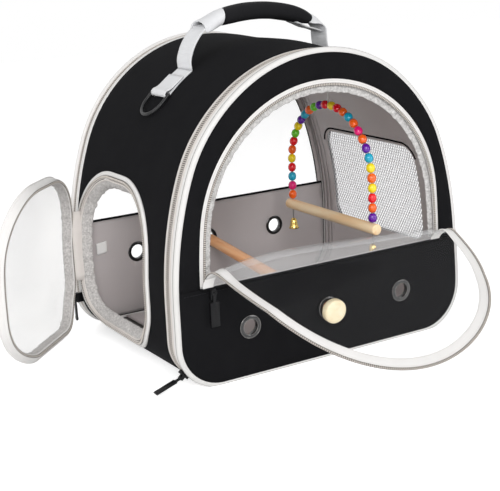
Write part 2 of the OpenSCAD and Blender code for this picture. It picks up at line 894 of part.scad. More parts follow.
module beads() {
    color("#e8542a") translate([swing_x, swing_y, swing_z]) difference() {
        for (i = [0:bead_n - 1])
            translate([0, bead_place(i)[0], bead_place(i)[1]]) sphere(d = bead_d, $fn = 32);
        translate([0, 0, leg_h]) rotate([90, 0, 90])
            rotate_extrude(angle = 180, $fn = 120) translate([arch_r, 0]) circle(d = wire_d, $fn = 24);
        for (s = [-1, 1]) translate([0, s * arch_r, -leg_end])
            cylinder(d = wire_d, h = leg_h + leg_end, $fn = 24);
    }
}

// Bells that hang with their clappers under both ends of the dowel
bell_h = 12;
module bell_place(s) {
    translate([swing_x, swing_y + s * arch_r, swing_z - leg_end - gap]) children();
}

module bell() {
    color(brass) rotate_extrude($fn = 48) polygon([
        [0, 0], [2, 0], [bell_d / 2 - 2.5, -2.5], [bell_d / 2 - 1.5, -bell_h + 3],
        [bell_d / 2, -bell_h], [bell_d / 2 - 1, -bell_h], [bell_d / 2 - 2.5, -bell_h + 3],
        [bell_d / 2 - 3.5, -3.2], [1.5, -1.2], [0, -1.2]
    ]);
}

module clapper() {
    color(gunmetal) translate([0, 0, -bell_h + 1]) {
        cylinder(d = 1, h = bell_h - 2.2, $fn = 16);
        sphere(d = 4, $fn = 32);
    }
}

module front_bell() {
    bell_place(-1) bell();
}

module rear_bell() {
    bell_place(1) bell();
}

module front_clapper() {
    bell_place(-1) clapper();
}

module rear_clapper() {
    bell_place(1) clapper();
}

// Left webbing riser of the handle, with its grip further out by shift
module riser(shift) {
    bottom = pivot_z - webbing_w / 2;
    t = webbing_t;
    end = grip_half + shift;
    difference() {
        stand(handle_y - webbing_w / 2, handle_y + webbing_w / 2) polygon([
            [-pivot_x - t, bottom], [-pivot_x, bottom], [-pivot_x, pivot_z + 4],
            [-end - 14, grip_end_z - 5], [-end + 4, grip_end_z - 1],
            [-end + 4, grip_end_z - 1 + t], [-end - 15, grip_end_z - 4 + t],
            [-pivot_x - t, pivot_z + 5]
        ]);
        // The lower end is a half disc round the pivot line
        difference() {
            translate([-pivot_x - 10, handle_y - webbing_w, bottom - 1])
                cube([20, 2 * webbing_w, webbing_w / 2 + 1]);
            translate([-pivot_x - 20, handle_y, pivot_z]) rotate([0, 90, 0])
                cylinder(d = webbing_w, h = 40, $fn = 96);
        }
        // The upper end stops at the end of the grip
        translate([-shift, handle_y - webbing_w, grip_z - grip_r]) rotate([0, -grip_a, 0])
            cube([grip_r, 2 * webbing_w, 2 * grip_r]);
    }
}

module handle_webbing() {
    color(webbing_grey) {
        riser(-grip_x);
        mirror([1, 0, 0]) riser(grip_x);
    }
}

// Padded grip with round edges
module handle_grip() {
    flat = webbing_w - grip_t;
    color(black) translate([grip_x, handle_y, grip_z - grip_r]) rotate([90, 0, 0])
        rotate([0, 0, 90 - grip_a]) rotate_extrude(angle = 2 * grip_a, $fn = 180) translate([grip_r, 0]) {
            for (s = [-1, 1]) translate([0, s * flat / 2]) circle(d = grip_t, $fn = 48);
            translate([-grip_t / 2, -flat / 2]) square([grip_t, flat]);
        }
}

// D-ring whose bar runs through the loop at the lower end of the left strap
ring_w = webbing_w + ring_rod_d + 1.5;
ring_drop = 12;
module d_ring() {
    ring_at_crown() {
        translate([bar_x, ring_w / 2, 0]) rotate([90, 0, 0]) cylinder(d = ring_rod_d, h = ring_w, $fn = 32);
        for (s = [-1, 1]) translate([bar_x, s * ring_w / 2, 0]) {
            sphere(d = ring_rod_d, $fn = 32);
            rotate([0, -90, 0]) cylinder(d = ring_rod_d, h = ring_drop, $fn = 32);
        }
        translate([bar_x - ring_drop, 0, 0]) rotate([0, 0, 90])
            rotate_extrude(angle = 180, $fn = 96) translate([ring_w / 2, 0]) circle(d = ring_rod_d, $fn = 32);
    }
}

module d_ring_left() {
    color(gunmetal) d_ring();
}

module d_ring_right() {
    color(gunmetal) translate([0, handle_y, 0]) rotate([0, 0, 180]) translate([0, -handle_y, 0]) d_ring();
}

gusset();
base_panel();
gusset_lining();
base_board();
floor_mat();
hinge_strips();
body_zips();
door_collar();
door_collar_zip();
door_binding();
mesh_window();
mesh_binding();
shoulder_straps();
door_tab_anchor();
swing_ceiling_loop();
front_arch_face();
front_lower_face();
front_lining();
front_piping();
front_rim();
front_zip();
window_zip();
window_binding();
front_grommets();
window_slider();
front_slider();
window_pull();
front_pull();
perch_dowel();
perch_knob();
fold_strip();
flap_sheet();
flap_border();
flap_zip();
rear_lower_face();
rear_border();
rear_window();
rear_piping();
rear_zip();
rear_grommets();
rear_slider();
rear_pull();
door_tab();
door_sheet();
door_rim();
door_zip();
door_slider();
door_pull();
swing_hook();
swing_wire();
swing_dowel();
beads();
front_bell();
rear_bell();
front_clapper();
rear_clapper();
handle_webbing();
handle_grip();
d_ring_left();
d_ring_right();
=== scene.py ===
import bpy
import bmesh
import math
import random
import numpy as np
from mathutils import Matrix, Vector, geometry, noise


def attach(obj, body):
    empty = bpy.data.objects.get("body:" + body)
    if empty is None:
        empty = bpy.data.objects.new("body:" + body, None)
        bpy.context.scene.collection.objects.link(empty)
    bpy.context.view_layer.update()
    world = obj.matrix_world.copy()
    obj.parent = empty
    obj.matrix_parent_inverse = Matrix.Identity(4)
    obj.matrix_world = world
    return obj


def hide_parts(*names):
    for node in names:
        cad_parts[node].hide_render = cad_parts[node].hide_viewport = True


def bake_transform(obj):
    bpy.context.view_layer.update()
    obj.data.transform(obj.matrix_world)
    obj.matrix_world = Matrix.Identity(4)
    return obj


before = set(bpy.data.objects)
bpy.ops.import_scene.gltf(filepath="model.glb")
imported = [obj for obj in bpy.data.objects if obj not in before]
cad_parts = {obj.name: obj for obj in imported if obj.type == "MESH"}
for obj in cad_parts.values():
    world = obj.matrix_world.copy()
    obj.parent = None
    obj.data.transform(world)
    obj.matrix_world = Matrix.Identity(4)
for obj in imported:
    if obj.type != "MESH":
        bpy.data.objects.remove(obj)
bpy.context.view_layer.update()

MM = 0.001
rng = random.Random(7)

# Sizes in millimetres, as in the part's source
BODY_W, BODY_D, BODY_H = 434.0, 318.0, 400.0
CORNER_R, SPRING_Z, CROWN_R = 59.0, 109.0, 201.0
HALF_W = BODY_W / 2
Y_FRONT, Y_REAR = -BODY_D / 2, BODY_D / 2
FRONT_SPLIT, REAR_SPLIT = -135.0, 146.0
GUSSET_Y0, GUSSET_Y1 = -126.0, 137.0
BOTTOM_HALF = HALF_W - CORNER_R
CROWN_Z = BODY_H - CROWN_R
RISE = CROWN_Z - SPRING_Z
FLANK_R = (HALF_W ** 2 + RISE ** 2 - CROWN_R ** 2) / (2 * (HALF_W - CROWN_R))
FLANK_A = math.degrees(math.atan2(RISE, FLANK_R - HALF_W))
SILL_Z, WIN_HALF, WIN_TOP, WIN_CROWN = 127.0, 185.0, 359.0, 182.0
WIN_RISE = WIN_TOP - WIN_CROWN - SILL_Z
WIN_FLANK = (WIN_HALF ** 2 + WIN_RISE ** 2 - WIN_CROWN ** 2) / (2 * (WIN_HALF - WIN_CROWN))
WIN_A = math.degrees(math.atan2(WIN_RISE, WIN_FLANK - WIN_HALF))
REAR_SILL = 152.0
FACE_INSET, FACE_Y, REAR_OUT = 3.0, Y_FRONT + 0.8, Y_REAR - 0.8
DOOR_W, DOOR_Z0, DOOR_Z1, DOOR_Y = 218.0, 22.0, 241.0, 24.0
DOOR_TOP_R, DOOR_BOTTOM_R, DOOR_OPEN_A = 90.0, 68.0, 46.0
HINGE = Vector((-226.3, 135.5, 75.0))
NET_W, NET_Z0, NET_Z1, NET_R, NET_Y = 224.0, 98.0, 247.0, 28.0, 13.0
GROMMETS, GROMMET_Z, REAR_GROMMET_Z = (-118.0, 0.0, 118.0), 66.0, 96.0
HANDLE_Y = -8.0
TOOTH_PITCH, TOOTH_HALF = 2.6, 0.8


# Outlines
def cosd(a):
    return math.cos(math.radians(a))


def sind(a):
    return math.sin(math.radians(a))


def arc(cx, cz, r, a0, a1, n):
    angles = [a0 + (a1 - a0) * i / n for i in range(n + 1)]
    return [(cx + r * cosd(a), cz + r * sind(a)) for a in angles]


def both(right):
    """A right half and its mirror image, as one line from right to left."""
    return right + [(-x, z) for x, z in reversed(right) if x > 0.01]


def carrier(inset):
    return both(arc(BOTTOM_HALF, CORNER_R, CORNER_R - inset, -90, 0, 24)
                + arc(HALF_W - FLANK_R, SPRING_Z, FLANK_R - inset, 0, FLANK_A, 24)
                + arc(0, CROWN_Z, CROWN_R - inset, FLANK_A, 90, 48)[1:])


def carrier_above(z0, inset):
    a0 = math.degrees(math.asin((z0 - SPRING_Z) / (FLANK_R - inset)))
    return both(arc(HALF_W - FLANK_R, SPRING_Z, FLANK_R - inset, a0, FLANK_A, 20)
                + arc(0, CROWN_Z, CROWN_R - inset, FLANK_A, 90, 48)[1:])


def window_arch(inset, lift=0.0):
    a0 = math.degrees(math.asin(lift / (WIN_FLANK - inset)))
    return both(arc(WIN_HALF - WIN_FLANK, SILL_Z, WIN_FLANK - inset, a0, WIN_A, 12)
                + arc(0, WIN_TOP - WIN_CROWN, WIN_CROWN - inset, WIN_A, 90, 48)[1:])


def face_half_width(z):
    """Half width of the front and rear faces at a height on the flank."""
    return HALF_W - FLANK_R + math.sqrt((FLANK_R - FACE_INSET) ** 2 - (z - SPRING_Z) ** 2)


def lower_face(sill, gap):
    """The black lower part of a panel, up to just under its sill."""
    top = sill - gap - 0.1
    x = face_half_width(top)
    points = [p for p in carrier(FACE_INSET) if p[1] < sill - gap]
    right, left = ([p for p in points if p[0] * side > 0] for side in (1, -1))
    return right + [(x, top), (-x, top)] + left


def upper_face(sill, gap, x):
    """The outer line of a panel over its sill, from the sill's right end to its left end."""
    return [(x, sill)] + [p for p in carrier(FACE_INSET) if p[1] >= sill + gap] + [(-x, sill)]


def tomb(w, z0, z1, top_r, bottom_r, inset, y_mid):
    p = both(arc(w / 2 - bottom_r, z0 + bottom_r, bottom_r - inset, -90, 0, 16)
             + arc(w / 2 - top_r, z1 - top_r, top_r - inset, 0, 90, 24))
    return [(y_mid + y, z) for y, z in p]


def door(inset):
    return tomb(DOOR_W, DOOR_Z0, DOOR_Z1, DOOR_TOP_R, DOOR_BOTTOM_R, inset, DOOR_Y)


def net_window(inset):
    return tomb(NET_W, NET_Z0, NET_Z1, NET_R, NET_R, inset, NET_Y)


def box(a0, a1, b0, b1):
    return [(a0, b0), (a1, b0), (a1, b1), (a0, b1)]


def oval(ca, cb, ra, rb, n=14):
    angles = [2 * math.pi * i / n for i in range(n)]
    return [(ca + ra * math.cos(a), cb + rb * math.sin(a)) for a in angles]


def rounded(a0, a1, b0, b1, n=4):
    """A closed section with round ends across its shorter side."""
    ca, cb, ra, rb = (a0 + a1) / 2, (b0 + b1) / 2, (a1 - a0) / 2, (b1 - b0) / 2
    r = min(ra, rb)
    out = []
    for sa, sb, start in ((1, -1, -90), (1, 1, 0), (-1, 1, 90), (-1, -1, 180)):
        out += arc(ca + sa * (ra - r), cb + sb * (rb - r), r, start, start + 90, n)
    return out


def grommet_holes(z):
    return [oval(x, z, 11.6, 11.6, 40) for x in GROMMETS]


def resample(points, closed, step):
    """Even steps along a line, with its sharp corners kept."""
    p = np.array(points, float)
    if closed:
        p = np.vstack([p, p[:1]])
    seg = np.hypot(*np.diff(p, axis=0).T)
    p = p[np.concatenate([[True], seg > 1e-6])]
    d = np.diff(p, axis=0)
    turn = np.abs((np.diff(np.arctan2(d[:, 1], d[:, 0])) + math.pi) % (2 * math.pi) - math.pi)
    cuts = [0] + [k + 1 for k in range(len(turn)) if turn[k] > 0.45] + [len(p) - 1]
    out = []
    for a, b in zip(cuts, cuts[1:]):
        part = p[a:b + 1]
        s = np.concatenate([[0], np.cumsum(np.hypot(*np.diff(part, axis=0).T))])
        n = max(int(round(s[-1] / step)), 1 if len(cuts) > 2 else 3)
        t = np.linspace(0, s[-1], n + 1)
        out += list(zip(np.interp(t, s, part[:, 0]), np.interp(t, s, part[:, 1])))[:-1]
    if not closed:
        out.append(tuple(p[-1]))
    return np.array(out)


def normals(q, closed):
    d = np.roll(q, -1, 0) - np.roll(q, 1, 0) if closed else np.gradient(q, axis=0)
    d /= np.maximum(np.hypot(d[:, 0], d[:, 1]), 1e-9)[:, None]
    return np.stack([d[:, 1], -d[:, 0]], 1)


def lengths(q, closed):
    d = np.diff(np.vstack([q, q[:1]]) if closed else q, axis=0)
    return np.concatenate([[0], np.cumsum(np.hypot(d[:, 0], d[:, 1]))])


def smooth_line(points, n):
    """A smooth line through the points, with n steps between two of them."""
    out = []
    pts = [np.array(p, float) for p in points]
    for i in range(len(pts) - 1):
        p0, p1, p2, p3 = pts[max(i - 1, 0)], pts[i], pts[i + 1], pts[min(i + 2, len(pts) - 1)]
        for t in (k / n for k in range(n)):
            out.append(tuple(0.5 * ((2 * p1) + (-p0 + p2) * t + (2 * p0 - 5 * p1 + 4 * p2 - p3) * t * t
                                    + (-p0 + 3 * p1 - 3 * p2 + p3) * t ** 3)))
    return out + [tuple(pts[-1])]


# Surfaces: a mapper takes a place in a flat pattern and a distance from it, and gives a point in space
def clamp(t):
    return min(max(t, 0.0), 1.0)


def ramp01(t):
    t = clamp(t)
    return t * t * (3 - 2 * t)


def sag(x, y, z):
    """The soft front settles a little: its top sinks and its right side draws in."""
    w = ramp01((-30.0 - y) / 100.0)
    if w <= 0 or z < 60:
        return (x, y, z)
    away = math.hypot(x, z - CROWN_Z) if z > CROWN_Z else abs(x)
    k = ramp01((away - 172.0) / 26.0)
    up = ramp01((z - 230.0) / 130.0)
    side = ramp01((x - 60.0) / 110.0) * ramp01((z - 60.0) / 90.0)
    return (x - 4.5 * w * k * side, y, z - 5.5 * w * k * up)


def upright(y0, out):
    """A standing sheet at a depth; its distances run to +y where out is 1 and to -y where it is -1."""
    return lambda x, z, off: sag(x, y0 + out * off, z)


def lying(z0):
    return lambda x, y, off: (x, y, z0 + off)


def edge_map(x, z, y):
    """The edges of the two panels: the third value is the depth, and nothing goes under the floor."""
    px, py, pz = sag(x, y, z)
    return (px, py, max(pz, 0.25))


def gather_map(x, z, off):
    return (x, FACE_Y + 4.4 - off, z)


face_map, window_map, back_map = upright(FACE_Y, -1), upright(FACE_Y + 1.0, -1), upright(FACE_Y + 4.0, 1)
rear_map, rear_in_map = upright(REAR_OUT, 1), upright(REAR_OUT - 3.6, -1)
rear_film_map = upright(REAR_OUT - 2.6, 1)

# The wall's section: its right half, and all of it from the right base over the top to the left base
right_half = (arc(BOTTOM_HALF, CORNER_R, CORNER_R, -90, 0, 60)
              + [(HALF_W, CORNER_R + 50 * i / 20) for i in range(1, 20)]
              + arc(HALF_W - FLANK_R, SPRING_Z, FLANK_R, 0, FLANK_A, 80)
              + arc(0, CROWN_Z, CROWN_R, FLANK_A, 90, 160)[1:])
shell = np.array(both(right_half))
shell_s = lengths(shell, False)
shell_n = normals(shell, False)
SHELL_LEN = shell_s[-1]
right_half = np.array(right_half)
right_s = lengths(right_half, False)


def shell_map(s, y, off):
    """A place on the black wall, at a length along its section."""
    x, z = (np.interp(s, shell_s, shell[:, k]) for k in (0, 1))
    nx, nz = (np.interp(s, shell_s, shell_n[:, k]) for k in (0, 1))
    return sag(x + nx * off, y, z + nz * off)


def s_of_z(side, z):
    s = float(np.interp(z, right_half[:, 1], right_s))
    return s if side > 0 else SHELL_LEN - s


def left_map(y, z, off):
    return shell_map(s_of_z(-1, z), y, off)


def right_map(y, z, off):
    return shell_map(s_of_z(1, z), y, off)


DOOR_TURN = Matrix.Rotation(math.radians(-DOOR_OPEN_A), 4, "Z")
DOOR_OPEN = Matrix.Translation(HINGE) @ DOOR_TURN @ Matrix.Translation(-HINGE)


def leaf_map(y, z, off):
    return tuple(DOOR_OPEN @ Vector(left_map(y, z, off)))


# The open flap: v is the height above the first fold, measured along the film
FLAP_Y, FOLD_Z, FOLD_LEN, FOLD_A = -160.1, 129.0, 26.0, 55.0
TIP_V, SPLIT_V = WIN_TOP - FOLD_Z, 13.0
BEND_1, BEND_2 = 46.5, 67.6


def flap_profile():
    """Rows of v, depth, height and lean of the film, from under the sill to past its tip."""
    v, step = -8.0, 0.5
    y, z, a = FLAP_Y, FOLD_Z + v, 0.0
    rows = [(v, y, z, a)]
    while v < TIP_V + 30:
        if v < SPLIT_V:
            a = BEND_1 * ramp01((v + 7) / 20)
        else:
            a = BEND_1 + BEND_2 * ramp01((v - SPLIT_V) / 26) + 18.0 * max(v - 60, 0) / 150
        y -= sind(a) * step
        z += cosd(a) * step
        v += step
        rows.append((v, y, z, a))
    return np.array(rows)


flap_rows = flap_profile()


def flap_map(x, z, off):
    v = z - FOLD_Z
    y0, z0, a = (np.interp(v, flap_rows[:, 0], flap_rows[:, k]) for k in (1, 2, 3))
    t = max(v, 0) / TIP_V
    wave = 1.3 * math.sin(x / 34 + 0.6) * clamp(v / 60)
    twist = 19.5 * x / 185 * min(2 * t, 1) - 1.5 * math.cos(math.pi * x / 185) * min(3 * t, 1)
    crest = 11.0 * math.exp(-((v - 27.0) / 17.0) ** 2) * max(1 - (x / 182) ** 4, 0) * (1 - 0.3 * x / 182)
    o = off + wave + twist - crest
    return (x * (1 + 0.06 * t) - 37.0 * t * t + 40.0 * t, y0 - cosd(a) * o, z0 - sind(a) * o)


# Mesh builder
def put(o, body, slot, nodes=()):
    if nodes:
        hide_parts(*nodes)
    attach(o, body)
    return o


def thicken(o, thickness, offset=0.0):
    m = o.modifiers.new("thickness", "SOLIDIFY")
    m.thickness, m.offset, m.use_even_offset = thickness * MM, offset, False
    return o


def add_object(name, data):
    o = bpy.data.objects.new(name, data)
    bpy.context.scene.collection.objects.link(o)
    return o


class Build:
    """A mesh that grows part by part, with its places in millimetres."""

    def __init__(self):
        self.v, self.f, self.uv, self.m = [], [], [], []

    def add(self, verts, faces, uvs, mat=0):
        base = len(self.v)
        self.v += [(x * MM, y * MM, z * MM) for x, y, z in verts]
        for face, uv in zip(faces, uvs):
            self.f.append([base + i for i in face])
            self.uv.append([(a * MM, b * MM) for a, b in uv])
            self.m.append(mat)

    def grid(self, rows, closed_u=False, closed_v=False, mat=0, caps=False):
        nu, nv = len(rows), len(rows[0])
        us, vs = [0.0], [0.0]
        for i in range(1, nu + 1):
            us.append(us[-1] + math.dist(rows[i % nu][0], rows[i - 1][0]))
        for j in range(1, nv + 1):
            vs.append(vs[-1] + math.dist(rows[0][j % nv], rows[0][j - 1]))
        faces, uvs = [], []
        for i in range(nu if closed_u else nu - 1):
            for j in range(nv if closed_v else nv - 1):
                a, b, k = i * nv, ((i + 1) % nu) * nv, (j + 1) % nv
                faces.append((a + j, b + j, b + k, a + k))
                uvs.append(((us[i], vs[j]), (us[i + 1], vs[j]), (us[i + 1], vs[j + 1]), (us[i], vs[j + 1])))
        if caps and closed_v and not closed_u:
            faces.append(tuple(range(nv - 1, -1, -1)))
            faces.append(tuple((nu - 1) * nv + j for j in range(nv)))
            uvs += [tuple((vs[j], 0) for j in range(nv))] * 2
        self.add([p for row in rows for p in row], faces, uvs, mat)

    def tube(self, rows, mat=0):
        self.grid(rows, False, True, mat, True)

    def sweep(self, path, closed, section, mapper, mat=0, step=5.0):
        """Carries a section along a path; its points are distances beside the path and off the surface."""
        q = resample(path, closed, step)
        n, s = normals(q, closed), lengths(q, closed)
        rows = []
        for i in range(len(q)):
            points = section(s[i]) if callable(section) else section
            rows.append([mapper(q[i][0] + n[i][0] * a, q[i][1] + n[i][1] * a, b) for a, b in points])
        self.grid(rows, closed, True, mat, True)

    def teeth(self, path, closed, across, height, mapper, top=0.55, on_edge=False):
        """A row of zip teeth; on_edge makes them stand out beside the path and lie across the depth."""
        q = resample(path, closed, TOOTH_PITCH)
        mid = sum(across) / 2
        faces = [(0, 1, 2, 3), (7, 6, 5, 4), (0, 4, 5, 1), (1, 5, 6, 2), (2, 6, 7, 3), (3, 7, 4, 0)]
        for (x, z), (nx, nz) in zip(q, normals(q, closed)):
            pts = []
            for b, long, wide in ((height[0], 1.0, 1.0), (height[1], top, 0.8)):
                for a, h in ((across[0], -1), (across[1], -1), (across[1], 1), (across[0], 1)):
                    aa, hh = mid + (a - mid) * wide, h * TOOTH_HALF * long
                    beside, off = (b, aa) if on_edge else (aa, b)
                    pts.append(mapper(x + nx * beside - nz * hh, z + nz * beside + nx * hh, off))
            self.add(pts, faces, [((0, 0), (1, 0), (1, 1), (0, 1))] * 6, 1)

    def zip_row(self, path, closed, ground, across, height, mapper):
        """Zip teeth over a dark strip, painted shade between the teeth."""
        self.sweep(path, closed, box(*ground), mapper, 3)
        self.teeth(path, closed, across, height, mapper)

    def stitches(self, path, closed, a, b, mapper, pitch=3.8, length=2.6, w=0.45, mat=0, trim=0):
        """A row of stitches: a is their distance beside the path and b the one off the surface."""
        q = resample(path, closed, pitch)
        n = normals(q, closed)
        stations = ((-length / 2, 0.12), (-length / 4, w / 2), (length / 4, w / 2), (length / 2, 0.12))
        for (x, z), (nx, nz) in list(zip(q, n))[trim:len(q) - trim]:
            self.tube([[mapper(x + nx * aa - nz * h, z + nz * aa + nx * h, bb)
                        for aa, bb in oval(a, b, r, r, 5)] for h, r in stations], mat)

    def thread(self, centre, along, across, up, stations, mat=0):
        """One straight stitch; a station is a distance along it and a radius there."""
        self.tube([[tuple(centre + along * h + across * c + up * s) for c, s in oval(0, 0, r, r, 5)]
                   for h, r in stations], mat)

    def lathe(self, profile, place, n=48, mat=0, closed=False):
        """profile is (radius, height); place maps (x, y, z) to space."""
        rows = [[place(x, y, h) for x, y in oval(0, 0, r, r, n)] for r, h in profile]
        self.grid(rows, closed, True, mat, caps=not closed)

    def obj(self, name, mats, merge=0.00001, recalc=True):
        mesh = bpy.data.meshes.new(name)
        mesh.from_pydata(self.v, [], self.f)
        for m in mats:
            mesh.materials.append(m)
        mesh.polygons.foreach_set("material_index", self.m)
        layer = mesh.uv_layers.new(name="uv")
        layer.data.foreach_set("uv", [c for face in self.uv for pair in face for c in pair])
        bm = bmesh.new()
        bm.from_mesh(mesh)
        if merge:
            bmesh.ops.remove_doubles(bm, verts=bm.verts, dist=merge)
        if recalc:
            bmesh.ops.recalc_face_normals(bm, faces=bm.faces)
        for face in bm.faces:
            face.smooth = True
        bm.to_mesh(mesh)
        bm.free()
        return add_object(name, mesh)

    def piece(self, name, mats, body, slot, nodes=(), merge=0.00001):
        return put(self.obj(name, mats, merge), body, slot, nodes)


def swept(name, material, body, slot, nodes, path, closed, section, mapper, step=5.0):
    """A piece that is one sweep."""
    p = Build()
    p.sweep(path, closed, section, mapper, 0, step)
    p.piece(name, [material], body, slot, nodes)


def inside(points, poly):
    """Which of the points lie inside a polygon."""
    x, y = points[:, 0], points[:, 1]
    p = np.array(poly)
    hit = np.zeros(len(points), bool)
    for (x0, y0), (x1, y1) in zip(p, np.roll(p, -1, 0)):
        if y0 != y1:
            hit ^= ((y0 > y) != (y1 > y)) & (x < (x1 - x0) * (y - y0) / (y1 - y0) + x0)
    return hit


def inside_rings(points, rings):
    ok = inside(points, rings[0])
    for hole in rings[1:]:
        ok &= ~inside(points, hole)
    return ok


def cut_cloth(outline, holes, step):
    """Flat triangles of a sheet with holes: its places, their distances from an edge, and the triangles."""
    rings = [resample(outline, True, step)] + [resample(h, True, step * 0.7) for h in holes]
    edge = np.vstack(rings)
    lo, hi = edge.min(0), edge.max(0)
    gx = np.arange(lo[0] + step / 2, hi[0], step)
    gy = np.arange(lo[1] + step / 2, hi[1], step * 0.87)
    pts = np.array([(x + (step / 2 if j % 2 else 0), y) for j, y in enumerate(gy) for x in gx])
    pts = pts[inside_rings(pts, rings)]
    dist = np.sqrt(((pts[:, None, :] - edge[None, :, :]) ** 2).sum(2)).min(1)
    pts, dist = pts[dist > step * 0.55], dist[dist > step * 0.55]
    given = np.vstack([edge, pts])
    dist = np.concatenate([np.zeros(len(edge)), dist])
    edges = []
    for r in rings:
        at = len(edges)
        edges += [(at + i, at + (i + 1) % len(r)) for i in range(len(r))]
    vs, _, fs, _, _, _ = geometry.delaunay_2d_cdt([Vector(p) for p in given], edges, [], 0, 1e-4)
    flat = np.array([(p.x, p.y) for p in vs])
    if len(flat) != len(given):
        dist = dist[[int(np.argmin(((given - p) ** 2).sum(1))) for p in flat]]
    tri = np.array(fs)
    return flat, dist, tri[inside_rings(flat[tri].mean(1), rings)]


def fabric(name, outline, holes, step, mapper, material, thick, base=0.0, puff=0.0, reach=9.0,
           rough=0.0, scale=70.0, seed=0, direction=1.0, wrinkle=None):
    """A sheet cut to an outline with holes, laid on a surface, with a soft swell between its seams."""
    flat, dist, tri = cut_cloth(outline, holes, step)
    verts = []
    for (x, y), d in zip(flat, dist):
        soft = 1 - math.exp(-d / reach)
        h = puff * soft
        if rough:
            h += rough * soft * noise.noise(Vector((x / scale, y / scale, seed * 3.7)))
        if wrinkle:
            h += wrinkle(x, y) * soft
        verts.append(mapper(x, y, base + direction * h))
    faces = [tuple(int(i) for i in t) for t in tri]
    sample = list(faces[len(faces) // 2])
    a0, a1, a2 = (Vector(verts[i]) for i in sample)
    x, y = flat[sample].mean(0)
    out = Vector(mapper(x, y, base + 1)) - Vector(mapper(x, y, base))
    if (a1 - a0).cross(a2 - a0).dot(out) < 0:
        faces = [tuple(reversed(t)) for t in faces]
    b = Build()
    b.add(verts, faces, [tuple((float(flat[i][0]), float(flat[i][1])) for i in t) for t in faces])
    return thicken(b.obj(name, [material], merge=0, recalc=False), abs(thick), 1.0 if thick > 0 else -1.0)


# Materials
def node(tree, kind, options=(), **values):
    """A shader node with its options and the values of its sockets."""
    n = tree.nodes.new("ShaderNode" + kind)
    for key, value in options:
        setattr(n, key, value)
    return give(n, **values)


def give(n, **values):
    for key, value in values.items():
        n.inputs[key.replace("_", " ")].default_value = value
    return n


def link(tree, a, b):
    tree.links.new(a, b)


def new_material(name):
    m = bpy.data.materials.new(name)
    m.use_nodes = True
    return m, m.node_tree, m.node_tree.nodes["Principled BSDF"]


def colour_noise(tree, p, c0, c1, scale=40.0, detail=4.0):
    """Two colours mixed by noise; gives the coordinates and the noise."""
    coords = node(tree, "TexCoord")
    speckle = node(tree, "TexNoise", Scale=scale, Detail=detail)
    mix = node(tree, "Mix", [("data_type", "RGBA")])
    mix.inputs[6].default_value = (*c0, 1)
    mix.inputs[7].default_value = (*c1, 1)
    link(tree, coords.outputs["Object"], speckle.inputs["Vector"])
    link(tree, speckle.outputs["Fac"], mix.inputs[0])
    link(tree, mix.outputs[2], p.inputs["Base Color"])
    return coords, speckle


def bump(tree, p, height, strength, depth):
    b = node(tree, "Bump", Strength=strength, Distance=depth * MM)
    link(tree, height, b.inputs["Height"])
    link(tree, b.outputs["Normal"], p.inputs["Normal"])


def weave(tree, coords, speckle, period, angle):
    """Height of two crossed thread directions, at a period in millimetres, with some noise."""
    bands = [("wave_type", "BANDS"), ("wave_profile", "SIN")]
    highest = node(tree, "Math", [("operation", "MAXIMUM")])
    for k, axis in enumerate("XY"):
        turned = node(tree, "Mapping", Rotation=(0, 0, math.radians(angle)))
        wave = node(tree, "TexWave", bands + [("bands_direction", axis)],
                    Scale=0.314 / (period * MM), Distortion=0.6, Detail=1.0, Detail_Scale=2.0)
        link(tree, coords.outputs["UV"], turned.inputs["Vector"])
        link(tree, turned.outputs["Vector"], wave.inputs["Vector"])
        link(tree, wave.outputs["Fac"], highest.inputs[k])
    rough = node(tree, "Math", [("operation", "MULTIPLY_ADD")])
    rough.inputs[1].default_value = 0.8
    link(tree, speckle.outputs["Fac"], rough.inputs[0])
    link(tree, highest.outputs[0], rough.inputs[2])
    return rough.outputs[0]


def cloth(name, c0, c1, rough=0.85, sheen=0.1, period=1.0, depth=0.15, strength=0.6, scale=40.0, angle=0.0,
          spec=0.3):
    m, tree, p = new_material(name)
    coords, speckle = colour_noise(tree, p, c0, c1, scale)
    give(p, Roughness=rough, Specular_IOR_Level=spec, Sheen_Weight=sheen, Sheen_Roughness=0.5)
    bump(tree, p, weave(tree, coords, speckle, period, angle), strength, depth)
    return m


def plain(name, c0, c1, rough=0.4, metal=0.0, scale=60.0, depth=0.0, coat=0.0, spec=0.5):
    """Plastic or metal with a fine variation of its gloss."""
    m, tree, p = new_material(name)
    coords, _ = colour_noise(tree, p, c0, c1, scale)
    give(p, Roughness=rough, Metallic=metal, Coat_Weight=coat, Specular_IOR_Level=spec)
    fine = node(tree, "TexNoise", Scale=scale * 12, Detail=3)
    gloss = node(tree, "MapRange", To_Min=max(rough - 0.08, 0.02), To_Max=rough + 0.10)
    link(tree, coords.outputs["Object"], fine.inputs["Vector"])
    link(tree, fine.outputs["Fac"], gloss.inputs["Value"])
    link(tree, gloss.outputs["Result"], p.inputs["Roughness"])
    if depth:
        bump(tree, p, fine.outputs["Fac"], 0.5, depth)
    return m


def film(name, colour, alpha, rough=0.08, depth=0.6):
    m, tree, p = new_material(name)
    _, speckle = colour_noise(tree, p, colour, tuple(c * 0.96 for c in colour), 12.0, 2.0)
    give(p, Roughness=rough, IOR=1.46, Alpha=alpha, Specular_IOR_Level=1.0)
    give(p, Coat_Weight=1.0, Coat_Roughness=0.03)
    if depth:
        bump(tree, p, speckle.outputs["Fac"], 0.35, depth)
    return m


